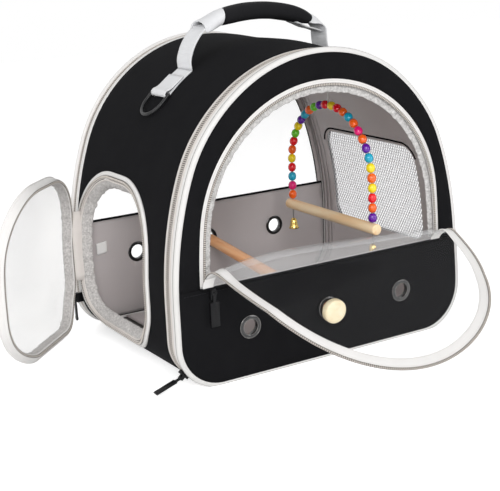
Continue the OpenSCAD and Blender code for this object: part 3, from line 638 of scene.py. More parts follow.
def wood(name, dark, middle, light, along):
    m, tree, p = new_material(name)
    coords = node(tree, "TexCoord")
    stretched = node(tree, "Mapping", Scale=along)
    grain = node(tree, "TexNoise", Scale=90, Detail=5, Distortion=0.8)
    colours = node(tree, "ValToRGB")
    first, last = colours.color_ramp.elements
    first.position, first.color = 0.30, (*dark, 1)
    last.position, last.color = 0.72, (*light, 1)
    colours.color_ramp.elements.new(0.5).color = (*middle, 1)
    link(tree, coords.outputs["Object"], stretched.inputs["Vector"])
    link(tree, stretched.outputs["Vector"], grain.inputs["Vector"])
    link(tree, grain.outputs["Fac"], colours.inputs["Fac"])
    link(tree, colours.outputs["Color"], p.inputs["Base Color"])
    give(p, Roughness=0.5)
    bump(tree, p, grain.outputs["Fac"], 0.3, 0.25)
    return m


def glowing_cloth(name, c0, c1, through):
    """Open cloth that lets part of the light from its other side through."""
    m = cloth(name, c0, c1, 0.75, 0.0, 0.6, 0.1, 0.4)
    tree = m.node_tree
    back = node(tree, "BsdfTranslucent", Color=(*c0, 1))
    mix = node(tree, "MixShader")
    mix.inputs[0].default_value = through
    link(tree, tree.nodes["Principled BSDF"].outputs[0], mix.inputs[1])
    link(tree, back.outputs[0], mix.inputs[2])
    link(tree, mix.outputs[0], tree.nodes["Material Output"].inputs["Surface"])
    return m


def seen_directly(tree):
    """1 for a ray from the camera, off a gloss or through a clear sheet, and 0 for any other."""
    path = node(tree, "LightPath")
    first, second = (node(tree, "Math", [("operation", "MAXIMUM")]) for _ in range(2))
    link(tree, path.outputs["Is Camera Ray"], first.inputs[0])
    link(tree, path.outputs["Is Glossy Ray"], first.inputs[1])
    link(tree, first.outputs[0], second.inputs[0])
    link(tree, path.outputs["Is Transmission Ray"], second.inputs[1])
    return second.outputs[0]


# Gloss, sheen, period, depth and strength of two weaves, and the scale and angle of the second one
TRIM_WEAVE = (0.8, 0.1, 0.9, 0.1, 0.4)
TAPE_WEAVE = (0.85, 0.1, 1.4, 0.2, 0.7, 60, 45)

BLACK = cloth("black_canvas", (0.0066, 0.0066, 0.0076), (0.0098, 0.0098, 0.0108), 0.95, 0.0, 1.1, 0.16, 0.5,
              spec=0.06)
WHITE = cloth("white_trim", (0.76, 0.747, 0.733), (0.70, 0.687, 0.674), *TRIM_WEAVE)
PIPING = cloth("piping_white", (0.69, 0.68, 0.668), (0.64, 0.63, 0.618), *TRIM_WEAVE)
TAPE = cloth("zip_tape", (0.70, 0.655, 0.62), (0.61, 0.57, 0.54), *TAPE_WEAVE)
TAPE_WHITE = cloth("zip_tape_white", (0.75, 0.735, 0.72), (0.69, 0.67, 0.655), *TAPE_WEAVE)
# The dark strip under zip teeth is painted shade in the gaps between them
TAPE_GAP_SHADE = cloth("zip_gap_painted_shade", (0.16, 0.15, 0.14), (0.12, 0.11, 0.105), 0.85, 0.0, 1.4, 0.2, 0.7, 60, 45)
SEAM = cloth("seam_line", (0.30, 0.29, 0.28), (0.24, 0.23, 0.225), 0.85, 0.0, 1.4, 0.2, 0.7, 60)
COIL = plain("zip_coil", (0.62, 0.57, 0.52), (0.52, 0.475, 0.43), 0.45, 0, 90, 0.05)
LINING = cloth("grey_lining", (0.55, 0.508, 0.506), (0.475, 0.438, 0.436), 0.55, 0.2, 0.8, 0.08, 0.35, 14)
# The gathered bindings mix white cloth with near black by fine noise; the near black is painted shade in the
# folds of the gather, and the second one is a brighter copy
GATHER_FOLD_SHADE = cloth("gathered_binding", (0.88, 0.85, 0.83), (0.14, 0.13, 0.125), 0.8, 0.2, 1.6, 0.35, 1.0, 420)
GATHER_BRIGHT_FOLD_SHADE = cloth("gathered_binding_bright_fold_shade", (0.93, 0.91, 0.895), (0.16, 0.153, 0.148), 0.8, 0.2, 1.6, 0.35,
                     1.0, 330)
NET = glowing_cloth("mesh_net", (0.90, 0.90, 0.91), (0.82, 0.82, 0.83), 0.55)
WEBBING = cloth("strap_webbing", (0.75, 0.755, 0.77), (0.66, 0.665, 0.68), 0.75, 0.15, 2.2, 0.35, 0.9, 60)
THREAD = cloth("stitch_thread", (0.70, 0.69, 0.67), (0.62, 0.61, 0.59), 0.7, 0.1, 0.5, 0.05, 0.3)
THREAD_DARK = cloth("stitch_thread_dark", (0.02, 0.02, 0.022), (0.03, 0.03, 0.033), 0.7, 0.0, 0.5, 0.05, 0.3,
                    spec=0.1)
GRIP = cloth("grip_cover", (0.0080, 0.0080, 0.0092), (0.012, 0.012, 0.0135), 0.85, 0.0, 0.7, 0.1, 0.5,
             spec=0.12)
BOARD = plain("base_board", (0.16, 0.15, 0.145), (0.12, 0.115, 0.11), 0.7, 0, 30, 0.1)
GUNMETAL = plain("gunmetal", (0.022, 0.022, 0.023), (0.04, 0.04, 0.041), 0.2, 0.85, 80, 0.02, 0.6)
RING_BLACK = plain("ring_black", (0.008, 0.008, 0.009), (0.014, 0.014, 0.015), 0.35, 0.0, 60, 0.03, 0.0, 0.3)
PULL_BLACK = plain("pull_black", (0.005, 0.005, 0.006), (0.009, 0.009, 0.010), 0.30, 0.0, 70, 0.04, 0.0, 0.16)
WIRE = plain("wire", (0.42, 0.41, 0.39), (0.30, 0.29, 0.28), 0.3, 1.0, 60, 0.01)
# Brighter metal for thin rims on the grommets' rolled edges: painted highlight
STEEL_RIM_HIGHLIGHT = plain("rim_painted_highlight", (0.21, 0.205, 0.20), (0.15, 0.145, 0.14), 0.2, 0.95, 80, 0.01)
BRASS = plain("bell_brass", (0.82, 0.60, 0.20), (0.68, 0.46, 0.12), 0.22, 1.0, 60, 0.01)
WOOD = wood("perch_wood", (0.76, 0.33, 0.14), (0.90, 0.47, 0.23), (0.95, 0.61, 0.36), (1, 0.12, 1))
DOWEL = wood("swing_wood", (0.90, 0.59, 0.31), (0.98, 0.74, 0.46), (1.0, 0.83, 0.58), (1, 0.12, 1))
PALE = wood("pale_wood", (0.88, 0.74, 0.48), (0.93, 0.81, 0.56), (0.96, 0.86, 0.64), (1, 0.3, 1))
FILM = film("clear_film", (0.14, 0.142, 0.145), 0.02, depth=0.0)
# The film at the fold is whiter and less clear than the rest of the same sheet: painted reflection of the
# curved fold
FILM_FOLD_REFLECTION = film("fold_film_painted_reflection", (0.86, 0.87, 0.88), 0.16, depth=0.4)
FILM_REAR = film("rear_film", (0.90, 0.91, 0.92), 0.10)
FILM_DOOR = film("door_film", (0.94, 0.94, 0.93), 0.28, 0.25)
# A half opaque white film for a strip along the flap's crest: painted highlight
FILM_CREST_HIGHLIGHT = film("crest_highlight_film", (0.92, 0.92, 0.93), 0.5, depth=0.0)
LABEL = cloth("blank_label", (0.84, 0.835, 0.82), (0.80, 0.795, 0.78), 0.8, 0.1, 0.5, 0.05, 0.3)

# Materials of a zip: its tape, its teeth, its stitches and the dark strip under the teeth, painted shade
# between them
ZIP_MATS = [TAPE, COIL, THREAD, TAPE_GAP_SHADE]
WHITE_ZIP_MATS = [TAPE_WHITE, COIL, THREAD, TAPE_GAP_SHADE]
TRIM_ZIP_MATS = [WHITE, COIL, THREAD, TAPE_GAP_SHADE]

BEAD_COLOURS = {"orange": (1.0, 0.13, 0.004), "magenta": (0.86, 0.006, 0.19), "teal": (0.002, 0.40, 0.60),
                "red": (0.88, 0.004, 0.016), "yellow": (1.0, 0.76, 0.004), "green": (0.15, 0.66, 0.02),
                "purple": (0.12, 0.003, 0.36)}
BEAD_MATS = [plain("bead_" + key, c, tuple(v * 0.92 for v in c), 0.14, 0, 50, 0.0, 0.3)
             for key, c in BEAD_COLOURS.items()]


def dress(name, material):
    """A CAD piece that stays, with a better material."""
    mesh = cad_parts[name].data
    mesh.materials.clear()
    mesh.materials.append(material)


# Black wall and its lining
def on_shell(points, side):
    return [(s_of_z(side, z), y) for y, z in points]


def wall_folds(s, y):
    """Soft vertical drag lines near the shoulders, where the straps pull."""
    return 0.5 * math.sin(y / 31 + s / 140) + 0.35 * math.sin(s / 47 - y / 90)


def lining_folds(s, y):
    return 1.1 * math.sin(s / 38 + y / 52) + 0.8 * math.sin(y / 29 - s / 71 + 1.3)


wall = fabric("wall", box(0, SHELL_LEN, GUSSET_Y0, GUSSET_Y1),
              [on_shell(door(8.0), -1), on_shell(net_window(0.0), 1)], 9.0, shell_map, BLACK, -2.6,
              puff=0.9, reach=10, rough=1.3, scale=85, seed=1, wrinkle=wall_folds)
put(wall, "carrier", "black_fabric", ["gusset"])
base = fabric("base", box(-BOTTOM_HALF, BOTTOM_HALF, GUSSET_Y0, GUSSET_Y1), [], 14.0, lying(0.0), BLACK, 2.0,
              base=0.1, puff=0.2, reach=10)
put(base, "carrier", "black_fabric", ["base_panel"])
lining = fabric("lining", box(1, SHELL_LEN - 1, GUSSET_Y0 + 1, GUSSET_Y1 - 1),
                [on_shell(door(7.0), -1), on_shell(net_window(-0.5), 1)], 9.0, shell_map, LINING, -0.6,
                base=-3.3, puff=0.6, reach=14, rough=1.6, scale=60, seed=4, direction=-1.0,
                wrinkle=lining_folds)
put(lining, "carrier", "grey_lining", ["gusset_lining"])
floor_outline = box(-BOTTOM_HALF - 2, BOTTOM_HALF + 2, GUSSET_Y0 + 1, GUSSET_Y1 - 1)
floor_lining = fabric("floor_lining", floor_outline, [], 14.0, lying(3.0), LINING, 0.5,
                      base=0.1, puff=0.3, reach=10)
put(floor_lining, "carrier", "grey_lining")

# Floor mat: a crowned pad with drawn-in sides and two sewn channels
MAT_W, MAT_D, MAT_Y = 308.0, 257.0, (GUSSET_Y0 + GUSSET_Y1) / 2
MAT_Z, MAT_RISE, MAT_DROP, CHANNEL = 10.0, 5.2, 3.6, 0.34


def mat_row(v, nx=52):
    """Places and heights from 0 to about 1 across the mat, at a share v of its half depth."""
    row = []
    for u in (-1 + 2 * i / nx for i in range(nx + 1)):
        x = MAT_W / 2 * u * (1 - 0.012 * (1 - v * v) * abs(u) ** 3)
        y = MAT_D / 2 * v * (1 - 0.012 * math.cos(u * math.pi / 2) * abs(v) ** 3)
        edge = min(1 - abs(u), 1 - abs(v))
        h = (1 - math.exp(-edge * 16)) * (0.75 + 0.25 * (1 - u * u) * (1 - v * v))
        for c in (-CHANNEL, CHANNEL):
            h -= 0.35 * math.exp(-((u - c) * MAT_W / 2 / 4.5) ** 2) * min(edge * 12, 1)
        h += 0.05 * noise.noise(Vector((x / 30, y / 30, 2.0)))
        row.append((x, y + MAT_Y, h))
    return row


b = Build()
mat_rows = [mat_row(-1 + 2 * j / 44) for j in range(45)]
b.grid([[(x, y, MAT_Z + MAT_RISE * h) for x, y, h in row] for row in mat_rows])
b.grid([[(x, y, MAT_Z - MAT_DROP * min(h * 1.3, 1)) for x, y, h in row] for row in mat_rows])
mat = b.piece("mat", [LINING], "carrier", "grey_lining", ["floor_mat"], merge=0.0004)
dress("base_board", BOARD)

# Sewn strips under the two panels
b = Build()
for y0, y1 in ((Y_FRONT + 6, GUSSET_Y0), (GUSSET_Y1, Y_REAR - 6)):
    section = [(y, 0.3 + 0.5 * math.sin(math.pi * k / 6)) for k, y in enumerate(np.linspace(y0, y1, 7))]
    b.grid([[(-157 + 314 * i / 40, y, z) for y, z in section] for i in range(41)])
strips = thicken(b.obj("base_strips", [BLACK]), 0.9, 1.0)
put(strips, "carrier", "black_fabric", ["hinge_strips"])

# Bands, zips and piping of the panels
OUTLINE = carrier(0)


def bulge(y0, y1, out, low, n=6):
    """Section of a band round the carrier: it rises to out over the outline and goes down to low inside."""
    top = [(out * math.sin(math.pi * k / n) ** 0.7 if 0 < k < n else 0.0, y0 + (y1 - y0) * k / n)
           for k in range(n + 1)]
    return top + [(low, y1), (low, y0)]


def band(name, body, y0, y1, mats, out, slot, nodes=(), coil=None, seam=None, low=-2.2):
    """A band round the carrier; coil is the depths of its row of teeth, and seam the one of its stitches."""
    p = Build()
    p.sweep(OUTLINE, False, bulge(y0, y1, out, low), edge_map)
    if coil:
        c0, c1 = coil[0] - 0.3, coil[1] + 0.3
        # A dark strip under the row of teeth: painted shade between them
        p.sweep(OUTLINE, False, [(0.30, c0), (0.30, c1), (-0.4, c1), (-0.4, c0)], edge_map, 3)
        p.teeth(OUTLINE, False, coil, (-0.4, 0.85), edge_map, top=0.65, on_edge=True)
    if seam is not None:
        p.stitches(OUTLINE, False, out + 0.05, seam, edge_map, 4.2, 2.8, 0.5, 2)
    p.piece(name, mats, body, slot, nodes)


p = Build()
p.sweep(OUTLINE, True, oval(-0.8, Y_FRONT + 3.6, 3.9, 3.6, 18), edge_map)
p.sweep(OUTLINE, True, oval(2.9, Y_FRONT + 4.7, 0.42, 0.42, 8), edge_map, 1)
p.piece("front_piping", [PIPING, SEAM], "front_panel", "white_trim", ["front_piping"])
swept("rear_piping", WHITE, "rear_panel", "white_trim", ["rear_piping"],
      OUTLINE, True, oval(-0.6, Y_REAR - 3.2, 3.6, 3.2, 18), edge_map)
band("front_band", "front_panel", -151.9, -143.4, [WHITE, COIL, THREAD], 1.3, "white_trim", ["front_rim"],
     seam=-150.2)
band("front_zip", "front_panel", -143.2, FRONT_SPLIT - 0.2, ZIP_MATS, 0.2, "zip_tape", ["front_zip"],
     coil=(-138.6, -135.5), low=-1.6)
band("body_zip_front", "carrier", FRONT_SPLIT + 0.2, GUSSET_Y0 + 0.4, ZIP_MATS, 0.2, "zip_tape",
     ["body_zips"], coil=(-134.5, -131.4), seam=-128.2, low=-1.6)
band("rear_band", "carrier", GUSSET_Y1 - 0.4, REAR_SPLIT - 0.2, TRIM_ZIP_MATS, 0.7, "white_trim",
     coil=(142.6, 145.5), seam=139.2)
band("rear_zip", "rear_panel", REAR_SPLIT + 0.2, Y_REAR - 5.4, ZIP_MATS, 0.2, "zip_tape", ["rear_zip"],
     coil=(146.5, 149.4), low=-1.6)

# Front panel
arch = fabric("front_arch", upper_face(SILL_Z, 0.01, face_half_width(SILL_Z)) + window_arch(0)[::-1], [], 8.0,
              face_map, BLACK, -3.4, base=0.1, puff=1.1, reach=7, rough=0.5, scale=70, seed=9)
put(arch, "front_panel", "black_fabric", ["front_arch_face"])
lower = fabric("front_lower", lower_face(SILL_Z, 0.3), grommet_holes(GROMMET_Z), 8.0, face_map, BLACK, -3.4,
               base=0.1, puff=0.7, reach=8, rough=0.5, scale=80, seed=12)
put(lower, "front_panel", "black_fabric", ["front_lower_face"])
p = Build()
seam_half = face_half_width(SILL_Z - 0.4) - 3
seam_line = [(-seam_half, SILL_Z - 5.5), (seam_half, SILL_Z - 5.5)]
p.stitches(seam_line, False, 0, 1.0, face_map, 4.0, 2.8, 0.5, 0, 1)
p.piece("front_stitches", [THREAD_DARK], "front_panel", "black_fabric")
window_cut = [(x, max(z, SILL_Z + 0.5)) for x, z in window_arch(-1)]
front_lining = fabric("front_lining", carrier(5.5), [window_cut] + grommet_holes(GROMMET_Z), 9.0, back_map,
                      LINING, 0.5, base=0.15, puff=0.3, reach=10, rough=0.4, scale=60, seed=21)
put(front_lining, "front_panel", "grey_lining", ["front_lining"])

# Window zip: white tape with a row of teeth
win_path = window_arch(0, 0.5)
p = Build()
p.sweep(win_path, False, rounded(-8.6, 1.0, -0.9, 0.9, 3), window_map)
p.zip_row(win_path, False, (-8.4, -5.0, 0.8, 1.15), (-8.2, -5.3), (1.0, 1.9), window_map)
p.stitches(win_path, False, -2.2, 1.1, window_map, 3.6, 2.5, 0.4, 2)
p.piece("window_zip", WHITE_ZIP_MATS, "front_panel", "zip_tape", ["window_zip"])


def ruffle(depth, amp, thick, seed, base=0.0, tilt=0.0, period=6.0, n=7):
    """Section of a gathered strip: it runs inwards, turned by tilt, and waves more towards its free edge."""
    ct, st = cosd(tilt), sind(tilt)
    turn = -1.0 if tilt < 0 else 1.0

    def section(s):
        w1 = noise.noise(Vector((s / period, seed, 0.3)))
        w2 = noise.noise(Vector((s / (period * 0.45), seed + 5, 1.3)))
        d = depth * (1 + 0.13 * noise.noise(Vector((s / period * 0.7, seed + 9, 0))))
        up, down = [], []
        for t in (k / (n - 1) for k in range(n)):
            wave = amp * (w1 * 1.3 + w2 * 0.9) * math.sin(min(t * 1.25, 1) * math.pi * 0.85)
            crest = 0.8 * math.sin(math.pi * t)
            for rows, h in ((up, wave + crest + thick / 2), (down, wave + crest * 0.3 - thick / 2)):
                rows.append((-d * t * ct - turn * h * st, base - d * t * st + turn * h * ct))
        return up + down[::-1]
    return section


# The window's gather carries painted shade in its folds
gather_path = [(x, max(z, SILL_Z + 2)) for x, z in window_arch(7.6, 2.0)]
swept("window_gather", GATHER_BRIGHT_FOLD_SHADE, "front_panel", "gathered_binding", ["window_binding"],
      gather_path, False, ruffle(9.0, 2.1, 1.2, 3), gather_map, 1.7)
swept("sill_edge", BLACK, "front_panel", "black_fabric", (),
      [(-WIN_HALF, SILL_Z), (WIN_HALF, SILL_Z)], False, oval(0.4, 1.6, 1.5, 2.4, 10), face_map, 8.0)


# Grommets: rolled flange outside, barrel, rolled washer inside, and two rims of brighter steel, a painted
# highlight on the rolled edges
def grommets(name, body, y_out, z, direction, depth):
    """direction is +1 where inwards is +y."""
    ro, ri = 15.0, 10.0
    profile = [(ri, 0.9), (ri + 0.35, 0.35), (ri + 1.0, 0.05), (ri + 2.4, -0.05), (ro - 1.2, 0.25),
               (ro - 0.3, 0.8), (ro, 1.4), (ro - 0.2, 1.9), (12.0, 2.0), (11.5, 2.4), (11.5, depth - 2.0),
               (12.0, depth - 1.6), (ro - 0.3, depth - 1.5), (ro, depth - 1.0), (ro - 0.3, depth - 0.5),
               (ro - 1.6, depth - 0.1), (ri + 1.2, depth), (ri + 0.3, depth - 0.4), (ri, depth - 1.0)]
    p = Build()
    for x in GROMMETS:
        def place(u, v, h):
            return (x + u, y_out + direction * h, z + v)
        p.lathe(profile, place, 64, closed=True)
        # Two rims of brighter metal than the grommet: painted highlight lines
        for r, h, w in ((14.55, 0.85, 0.5), (10.5, 0.45, 0.4)):
            rim = [(r + w * cosd(a), h - w * sind(a)) for a in range(0, 360, 45)]
            p.lathe(rim, place, 64, 1, closed=True)
    p.piece(name, [GUNMETAL, STEEL_RIM_HIGHLIGHT], body, "gunmetal", [name])


grommets("front_grommets", "front_panel", -159.9, GROMMET_Z, 1, 7.9)
grommets("rear_grommets", "rear_panel", 159.9, REAR_GROMMET_Z, -1, 6.9)

# Perch and knob
PERCH_A = math.degrees(math.atan2(REAR_GROMMET_Z - GROMMET_Z, BODY_D))


def perch_place(u, v, h):
    """h runs inwards along the perch from the front face."""
    c, s = cosd(PERCH_A), sind(PERCH_A)
    return (u, Y_FRONT + h * c - v * s, GROMMET_Z + h * s + v * c)


def rod(r, h0, h1, bevel):
    """Profile of a rod with rounded ends."""
    n = max(int((h1 - h0) / 12), 2)
    profile = [(0.01, h0), (r - bevel, h0)]
    profile += [(r - bevel + bevel * sind(a), h0 + bevel - bevel * cosd(a)) for a in (30, 60, 90)]
    profile += [(r, h0 + bevel + (h1 - h0 - 2 * bevel) * i / n) for i in range(1, n)]
    profile += [(r - bevel + bevel * cosd(a), h1 - bevel + bevel * sind(a)) for a in (0, 30, 60, 90)]
    return profile + [(0.01, h1)]


def turned(name, material, body, slot, profile, place, n, closed=False, node_name=None):
    """A piece that is one turned profile; it replaces the CAD piece node_name."""
    p = Build()
    p.lathe(profile, place, n, closed=closed)
    p.piece(name, [material], body, slot, [node_name or name])


KNOB = [(0.01, -17.7), (9, -17.75), (13.2, -17.5), (15.0, -16.8), (15.8, -15.6), (16.0, -14.2), (16.0, -9.2),
        (15.8, -7.9), (15.0, -7.1), (13.5, -6.8), (8, -6.75), (0.01, -6.75)]
turned("perch", WOOD, "perch", "perch_wood", rod(8.0, -7.2, 308.7, 1.2), perch_place, 40,
       node_name="perch_dowel")
turned("knob", PALE, "perch", "pale_wood", KNOB, perch_place, 64, node_name="perch_knob")

# Window flap: film and border are cut at SPLIT_V, so that each part bends at one fold
FOLD_FILM_V, FILM_END_V = 42.0, TIP_V - 4.5


def bend_low(o, nodes=()):
    """A piece under SPLIT_V: it hides the CAD pieces it replaces and bakes its place into its mesh."""
    if nodes:
        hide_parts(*nodes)
    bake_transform(o)


def bend_high(o, nodes=()):
    """A piece above SPLIT_V: it hides the CAD pieces it replaces and bakes its place into its mesh."""
    if nodes:
        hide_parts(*nodes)
    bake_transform(o)


def arch_half_width(inset):
    pts = np.array([q for q in window_arch(inset) if q[0] >= -0.01])
    return lambda v: float(np.interp(FOLD_Z + v, pts[:, 1], pts[:, 0], left=pts[0, 0], right=0.0))


film_w, band_w = arch_half_width(4.0), arch_half_width(2.0)


def film_rows(levels, nx=56, share=1.0, off=0.0):
    rows = []
    for v in levels:
        w = max(film_w(v), 0.5) * share
        rows.append([flap_map(-w + 2 * w * i / nx, FOLD_Z + v, off) for i in range(nx + 1)])
    return rows


# Up to FOLD_FILM_V the film carries a whitish veil, painted reflection on its fold; beyond it the film is
# nearly clear
b = Build()
b.grid(film_rows([-2.0 + (SPLIT_V + 2.0) * k / 12 for k in range(13)], 48))
bend_low(thicken(b.obj("flap_film_low", [FILM_FOLD_REFLECTION]), 0.6), ["fold_strip"])
b = Build()
levels = [SPLIT_V + (FILM_END_V - SPLIT_V) * (1 - (1 - k / 46) ** 1.7) for k in range(47)]
rows = film_rows(levels)
near = max(k for k, v in enumerate(levels) if v < FOLD_FILM_V)
b.grid(rows[:near + 1], mat=1)
b.grid(rows[near:], mat=0)
bend_high(thicken(b.obj("flap_film", [FILM, FILM_FOLD_REFLECTION]), 0.6), ["flap_sheet"])
# A whitish strip along the crest of the flap: painted highlight of the light that the fold reflects
b = Build()
b.grid(film_rows((22.0, 23.2, 24.4), share=0.97, off=-0.7))
bend_high(b.obj("flap_crest_highlight", [FILM_CREST_HIGHLIGHT]))

band_path = window_arch(2.0, 2.0 + SPLIT_V)
FLAP_BAND = rounded(-15.0, 0.0, -0.9, 0.9, 3)
b = Build()
b.sweep(band_path, False, FLAP_BAND, flap_map)
b.zip_row(band_path, False, (-2.6, 0.9, -1.2, -0.7), (-2.2, 1.2), (-1.9, -1.1), flap_map)
for side in (-1.0, 1.0):
    for beside in (-4.4, -13.4):
        b.stitches(band_path, False, beside, side, flap_map, w=0.4, mat=2, trim=1)
bend_high(b.obj("flap_band", TRIM_ZIP_MATS), ["flap_border", "flap_zip"])
for side, word in ((1, "right"), (-1, "left")):
    b = Build()
    edge = [(side * band_w(v), FOLD_Z + v) for v in np.linspace(-2, SPLIT_V, 6)]
    b.sweep(edge[::side], False, FLAP_BAND, flap_map, 0, 3.0)
    bend_low(b.obj("flap_band_low_" + word, [WHITE]))

# Rear panel
rear_poly = lower_face(REAR_SILL, 0.4)
rear_half = face_half_width(REAR_SILL - 0.5)
rear_low = fabric("rear_lower", rear_poly, grommet_holes(REAR_GROMMET_Z), 8.5, rear_map, BLACK, -3.0,
                  base=0.1, puff=0.7, reach=8, rough=0.5, scale=80, seed=31)
put(rear_low, "rear_panel", "black_fabric", ["rear_lower_face"])
ring = upper_face(REAR_SILL, 0.5, rear_half) + carrier_above(REAR_SILL + 0.01, 12.0)[::-1]
rear_ring = fabric("rear_ring", ring, [], 7.0, rear_map, BLACK, -3.0, base=0.1, puff=0.6, reach=6)
put(rear_ring, "rear_panel", "black_fabric", ["rear_border"])


def rear_folds(x, z):
    return 0.9 * math.sin(x / 41 + z / 37) + 0.7 * math.sin(x / 23 - z / 29)


drawn_in = [(x * 0.985, max(z, 6)) for x, z in rear_poly]
rear_lining = fabric("rear_lining", drawn_in, grommet_holes(REAR_GROMMET_Z), 9.0, rear_in_map, LINING, 0.4,
                     puff=2.1, reach=12, rough=0.5, scale=45, seed=33, wrinkle=rear_folds)
put(rear_lining, "rear_panel", "grey_lining")
hem = carrier_above(REAR_SILL - 1, 5.0) + carrier_above(REAR_SILL - 1, 13.2)[::-1]
rear_hem = fabric("rear_hem", hem, [], 7.0, rear_in_map, LINING, 0.4, base=0.4, puff=0.4, reach=8)
put(rear_hem, "rear_panel", "grey_lining")
for name, body, y0, y1 in (("rear_edge_lining", "rear_panel", REAR_SPLIT + 0.3, Y_REAR - 4.6),
                           ("body_edge_lining_rear", "carrier", GUSSET_Y1 - 1.2, REAR_SPLIT - 0.3),
                           ("body_edge_lining_front", "carrier", FRONT_SPLIT + 0.3, GUSSET_Y0 + 1.2),
                           ("front_edge_lining", "front_panel", Y_FRONT + 5.4, FRONT_SPLIT - 0.3)):
    edge = fabric(name, box(12, SHELL_LEN - 12, y0, y1), [], 6.0, shell_map, LINING, -0.5,
                  base=-3.1, puff=0.2, reach=4)
    put(edge, body, "grey_lining")
rear_film = fabric("rear_film", carrier_above(REAR_SILL - 2, 11.0), [], 16.0, rear_film_map, FILM_REAR, 0.5,
                   puff=0.5, reach=30, rough=1.2, scale=90, seed=35)
put(rear_film, "rear_panel", "clear_sheet", ["rear_window"])
p = Build()
cord_line = [(-rear_half + 4, REAR_SILL), (rear_half - 4, REAR_SILL)]
p.sweep(cord_line, False, oval(0, 1.5, 1.7, 1.5, 10), rear_in_map, 0, 8.0)
p.sweep(carrier_above(REAR_SILL + 0.5, 13.6), False, oval(0, 0.6, 0.8, 0.8, 8), rear_in_map, 0, 6.0)
p.piece("rear_sill_cord", [BLACK], "rear_panel", "black_fabric")

# Blank tag on the inner side of the rear panel
TAG_X, TAG_Z, TAG_W, TAG_H = -183.0, 102.0, 16.0, 17.0
b = Build()
b.grid([[(TAG_X + TAG_W * i / 8, REAR_OUT - 6.8 - 0.8 * math.sin(i / 8 * 3.0),
          TAG_Z + TAG_H * j / 6 + i * 0.25) for i in range(9)] for j in range(7)])
put(thicken(b.obj("care_label", [LABEL]), 0.4), "rear_panel", "white_trim")

# Side door opening
swept("door_collar", WHITE, "carrier", "white_trim", ["door_collar"],
      door(0.0), True, rounded(-5.2, 0.6, -0.6, 3.6), left_map)
p = Build()
p.sweep(door(5.4), True, rounded(-3.8, 0.0, 1.2, 3.9, 3), left_map)
p.zip_row(door(5.4), True, (-3.2, 0.2, 3.7, 4.0), (-2.9, -0.1), (3.8, 4.6), left_map)
p.sweep(door(9.6), True, rounded(-2.4, 0.0, -1.0, 2.6, 3), left_map)
p.stitches(door(1.6), True, 0, 3.75, left_map, mat=2)
p.piece("door_collar_zip", ZIP_MATS, "carrier", "zip_tape", ["door_collar_zip"])
# The door opening's gather carries painted shade in its folds
swept("door_gather", GATHER_FOLD_SHADE, "carrier", "gathered_binding", ["door_binding"],
      door(11.2), True, ruffle(15.0, 1.5, 1.5, 15, 0.4, 56), left_map, 1.9)

# Side door leaf: a shallow tray with its zip at the near edge and its film at the far one
p = Build()
p.sweep(door(3.6), True, rounded(-2.2, 0.4, 5.2, 16.6), leaf_map)
p.sweep(door(3.6), True, oval(-0.7, 16.4, 2.0, 1.8, 12), leaf_map)
p.stitches(door(3.6), True, 0.5, 8.2, leaf_map, mat=1)
p.piece("door_rim", [WHITE, THREAD], "side_door", "white_trim", ["door_rim"])
p = Build()
p.sweep(door(3.8), True, rounded(-5.0, 0.2, 4.3, 5.6, 3), leaf_map)
p.zip_row(door(4.0), True, (-3.0, -0.3, 4.0, 4.5), (-2.7, -0.6), (3.4, 4.2), leaf_map)
p.sweep(door(8.6), True, oval(-0.6, 17.2, 1.8, 1.0, 10), leaf_map)
p.piece("door_zip", WHITE_ZIP_MATS, "side_door", "zip_tape", ["door_zip"])
# The leaf's gather carries painted shade in its folds
swept("door_leaf_gather", GATHER_FOLD_SHADE, "side_door", "gathered_binding", (),
      door(7.0), True, ruffle(12.5, 1.3, 1.4, 25, 5.4, -68), leaf_map, 1.9)
leaf_film = fabric("door_film", door(9.0), [], 11.0, leaf_map, FILM_DOOR, 0.5,
                   base=15.6, puff=0.8, reach=18, rough=1.0, scale=60, seed=41)
put(leaf_film, "side_door", "clear_sheet", ["door_sheet"])

# Hinge tab: a soft strip from the wall to the leaf
TAB_Z, TAB_H = 80.0, 98.0
rows = []
for z in (TAB_Z + TAB_H * k / 12 for k in range(13)):
    start = Vector((-HALF_W + 2.5, 121.0, z))
    mid = Vector((HINGE.x + 0.6, HINGE.y - 15.5, z))
    end = DOOR_OPEN @ Vector((HINGE.x + 6.4, HINGE.y - 9.0, z))
    steps = [i / 10 for i in range(11)]
    rows.append([tuple(start * (1 - t) ** 2 + mid * 2 * t * (1 - t) + end * t * t) for t in steps])
b = Build()
b.grid(rows)
tab = thicken(b.obj("door_tab", [TAPE]), 1.0)
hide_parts("door_tab", "door_tab_anchor")
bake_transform(tab)

# Net window: two layers of slanted threads inside a binding
NET_PITCH, NET_SLOPE, NET_REACH, NET_THREAD = 4.4, 57.0, 180.0, 0.78
hole = np.array(net_window(-1.0))
middle = np.array([hole[:, 0].mean(), (hole[:, 1].min() + hole[:, 1].max()) / 2])
count = int(NET_REACH / NET_PITCH)
along = np.linspace(-NET_REACH, NET_REACH, 241)
p = Build()
for layer in (1, -1):
    d = np.array([cosd(NET_SLOPE), layer * sind(NET_SLOPE)])
    section = box(-NET_THREAD, NET_THREAD, -1.9 + 0.3 * layer, -1.4 + 0.3 * layer)
    for k in range(-count, count + 1):
        c = middle + np.array([-d[1], d[0]]) * (k * NET_PITCH)
        t = along[inside(c + along[:, None] * d, hole)]
        if len(t) > 2:
            p.sweep([tuple(c + d * t[0]), tuple(c + d * t[-1])], False, section, right_map, 0, 9.0)
p.piece("net", [NET], "carrier", "mesh_net", ["mesh_window"], merge=0)
p = Build()
p.sweep(net_window(0.0), True, rounded(-5.5, 4.5, -0.2, 1.3), right_map)
p.stitches(net_window(-2.6), True, 0, 1.4, right_map, mat=1)
p.piece("net_binding", [BLACK, THREAD_DARK], "carrier", "black_fabric", ["mesh_binding"])
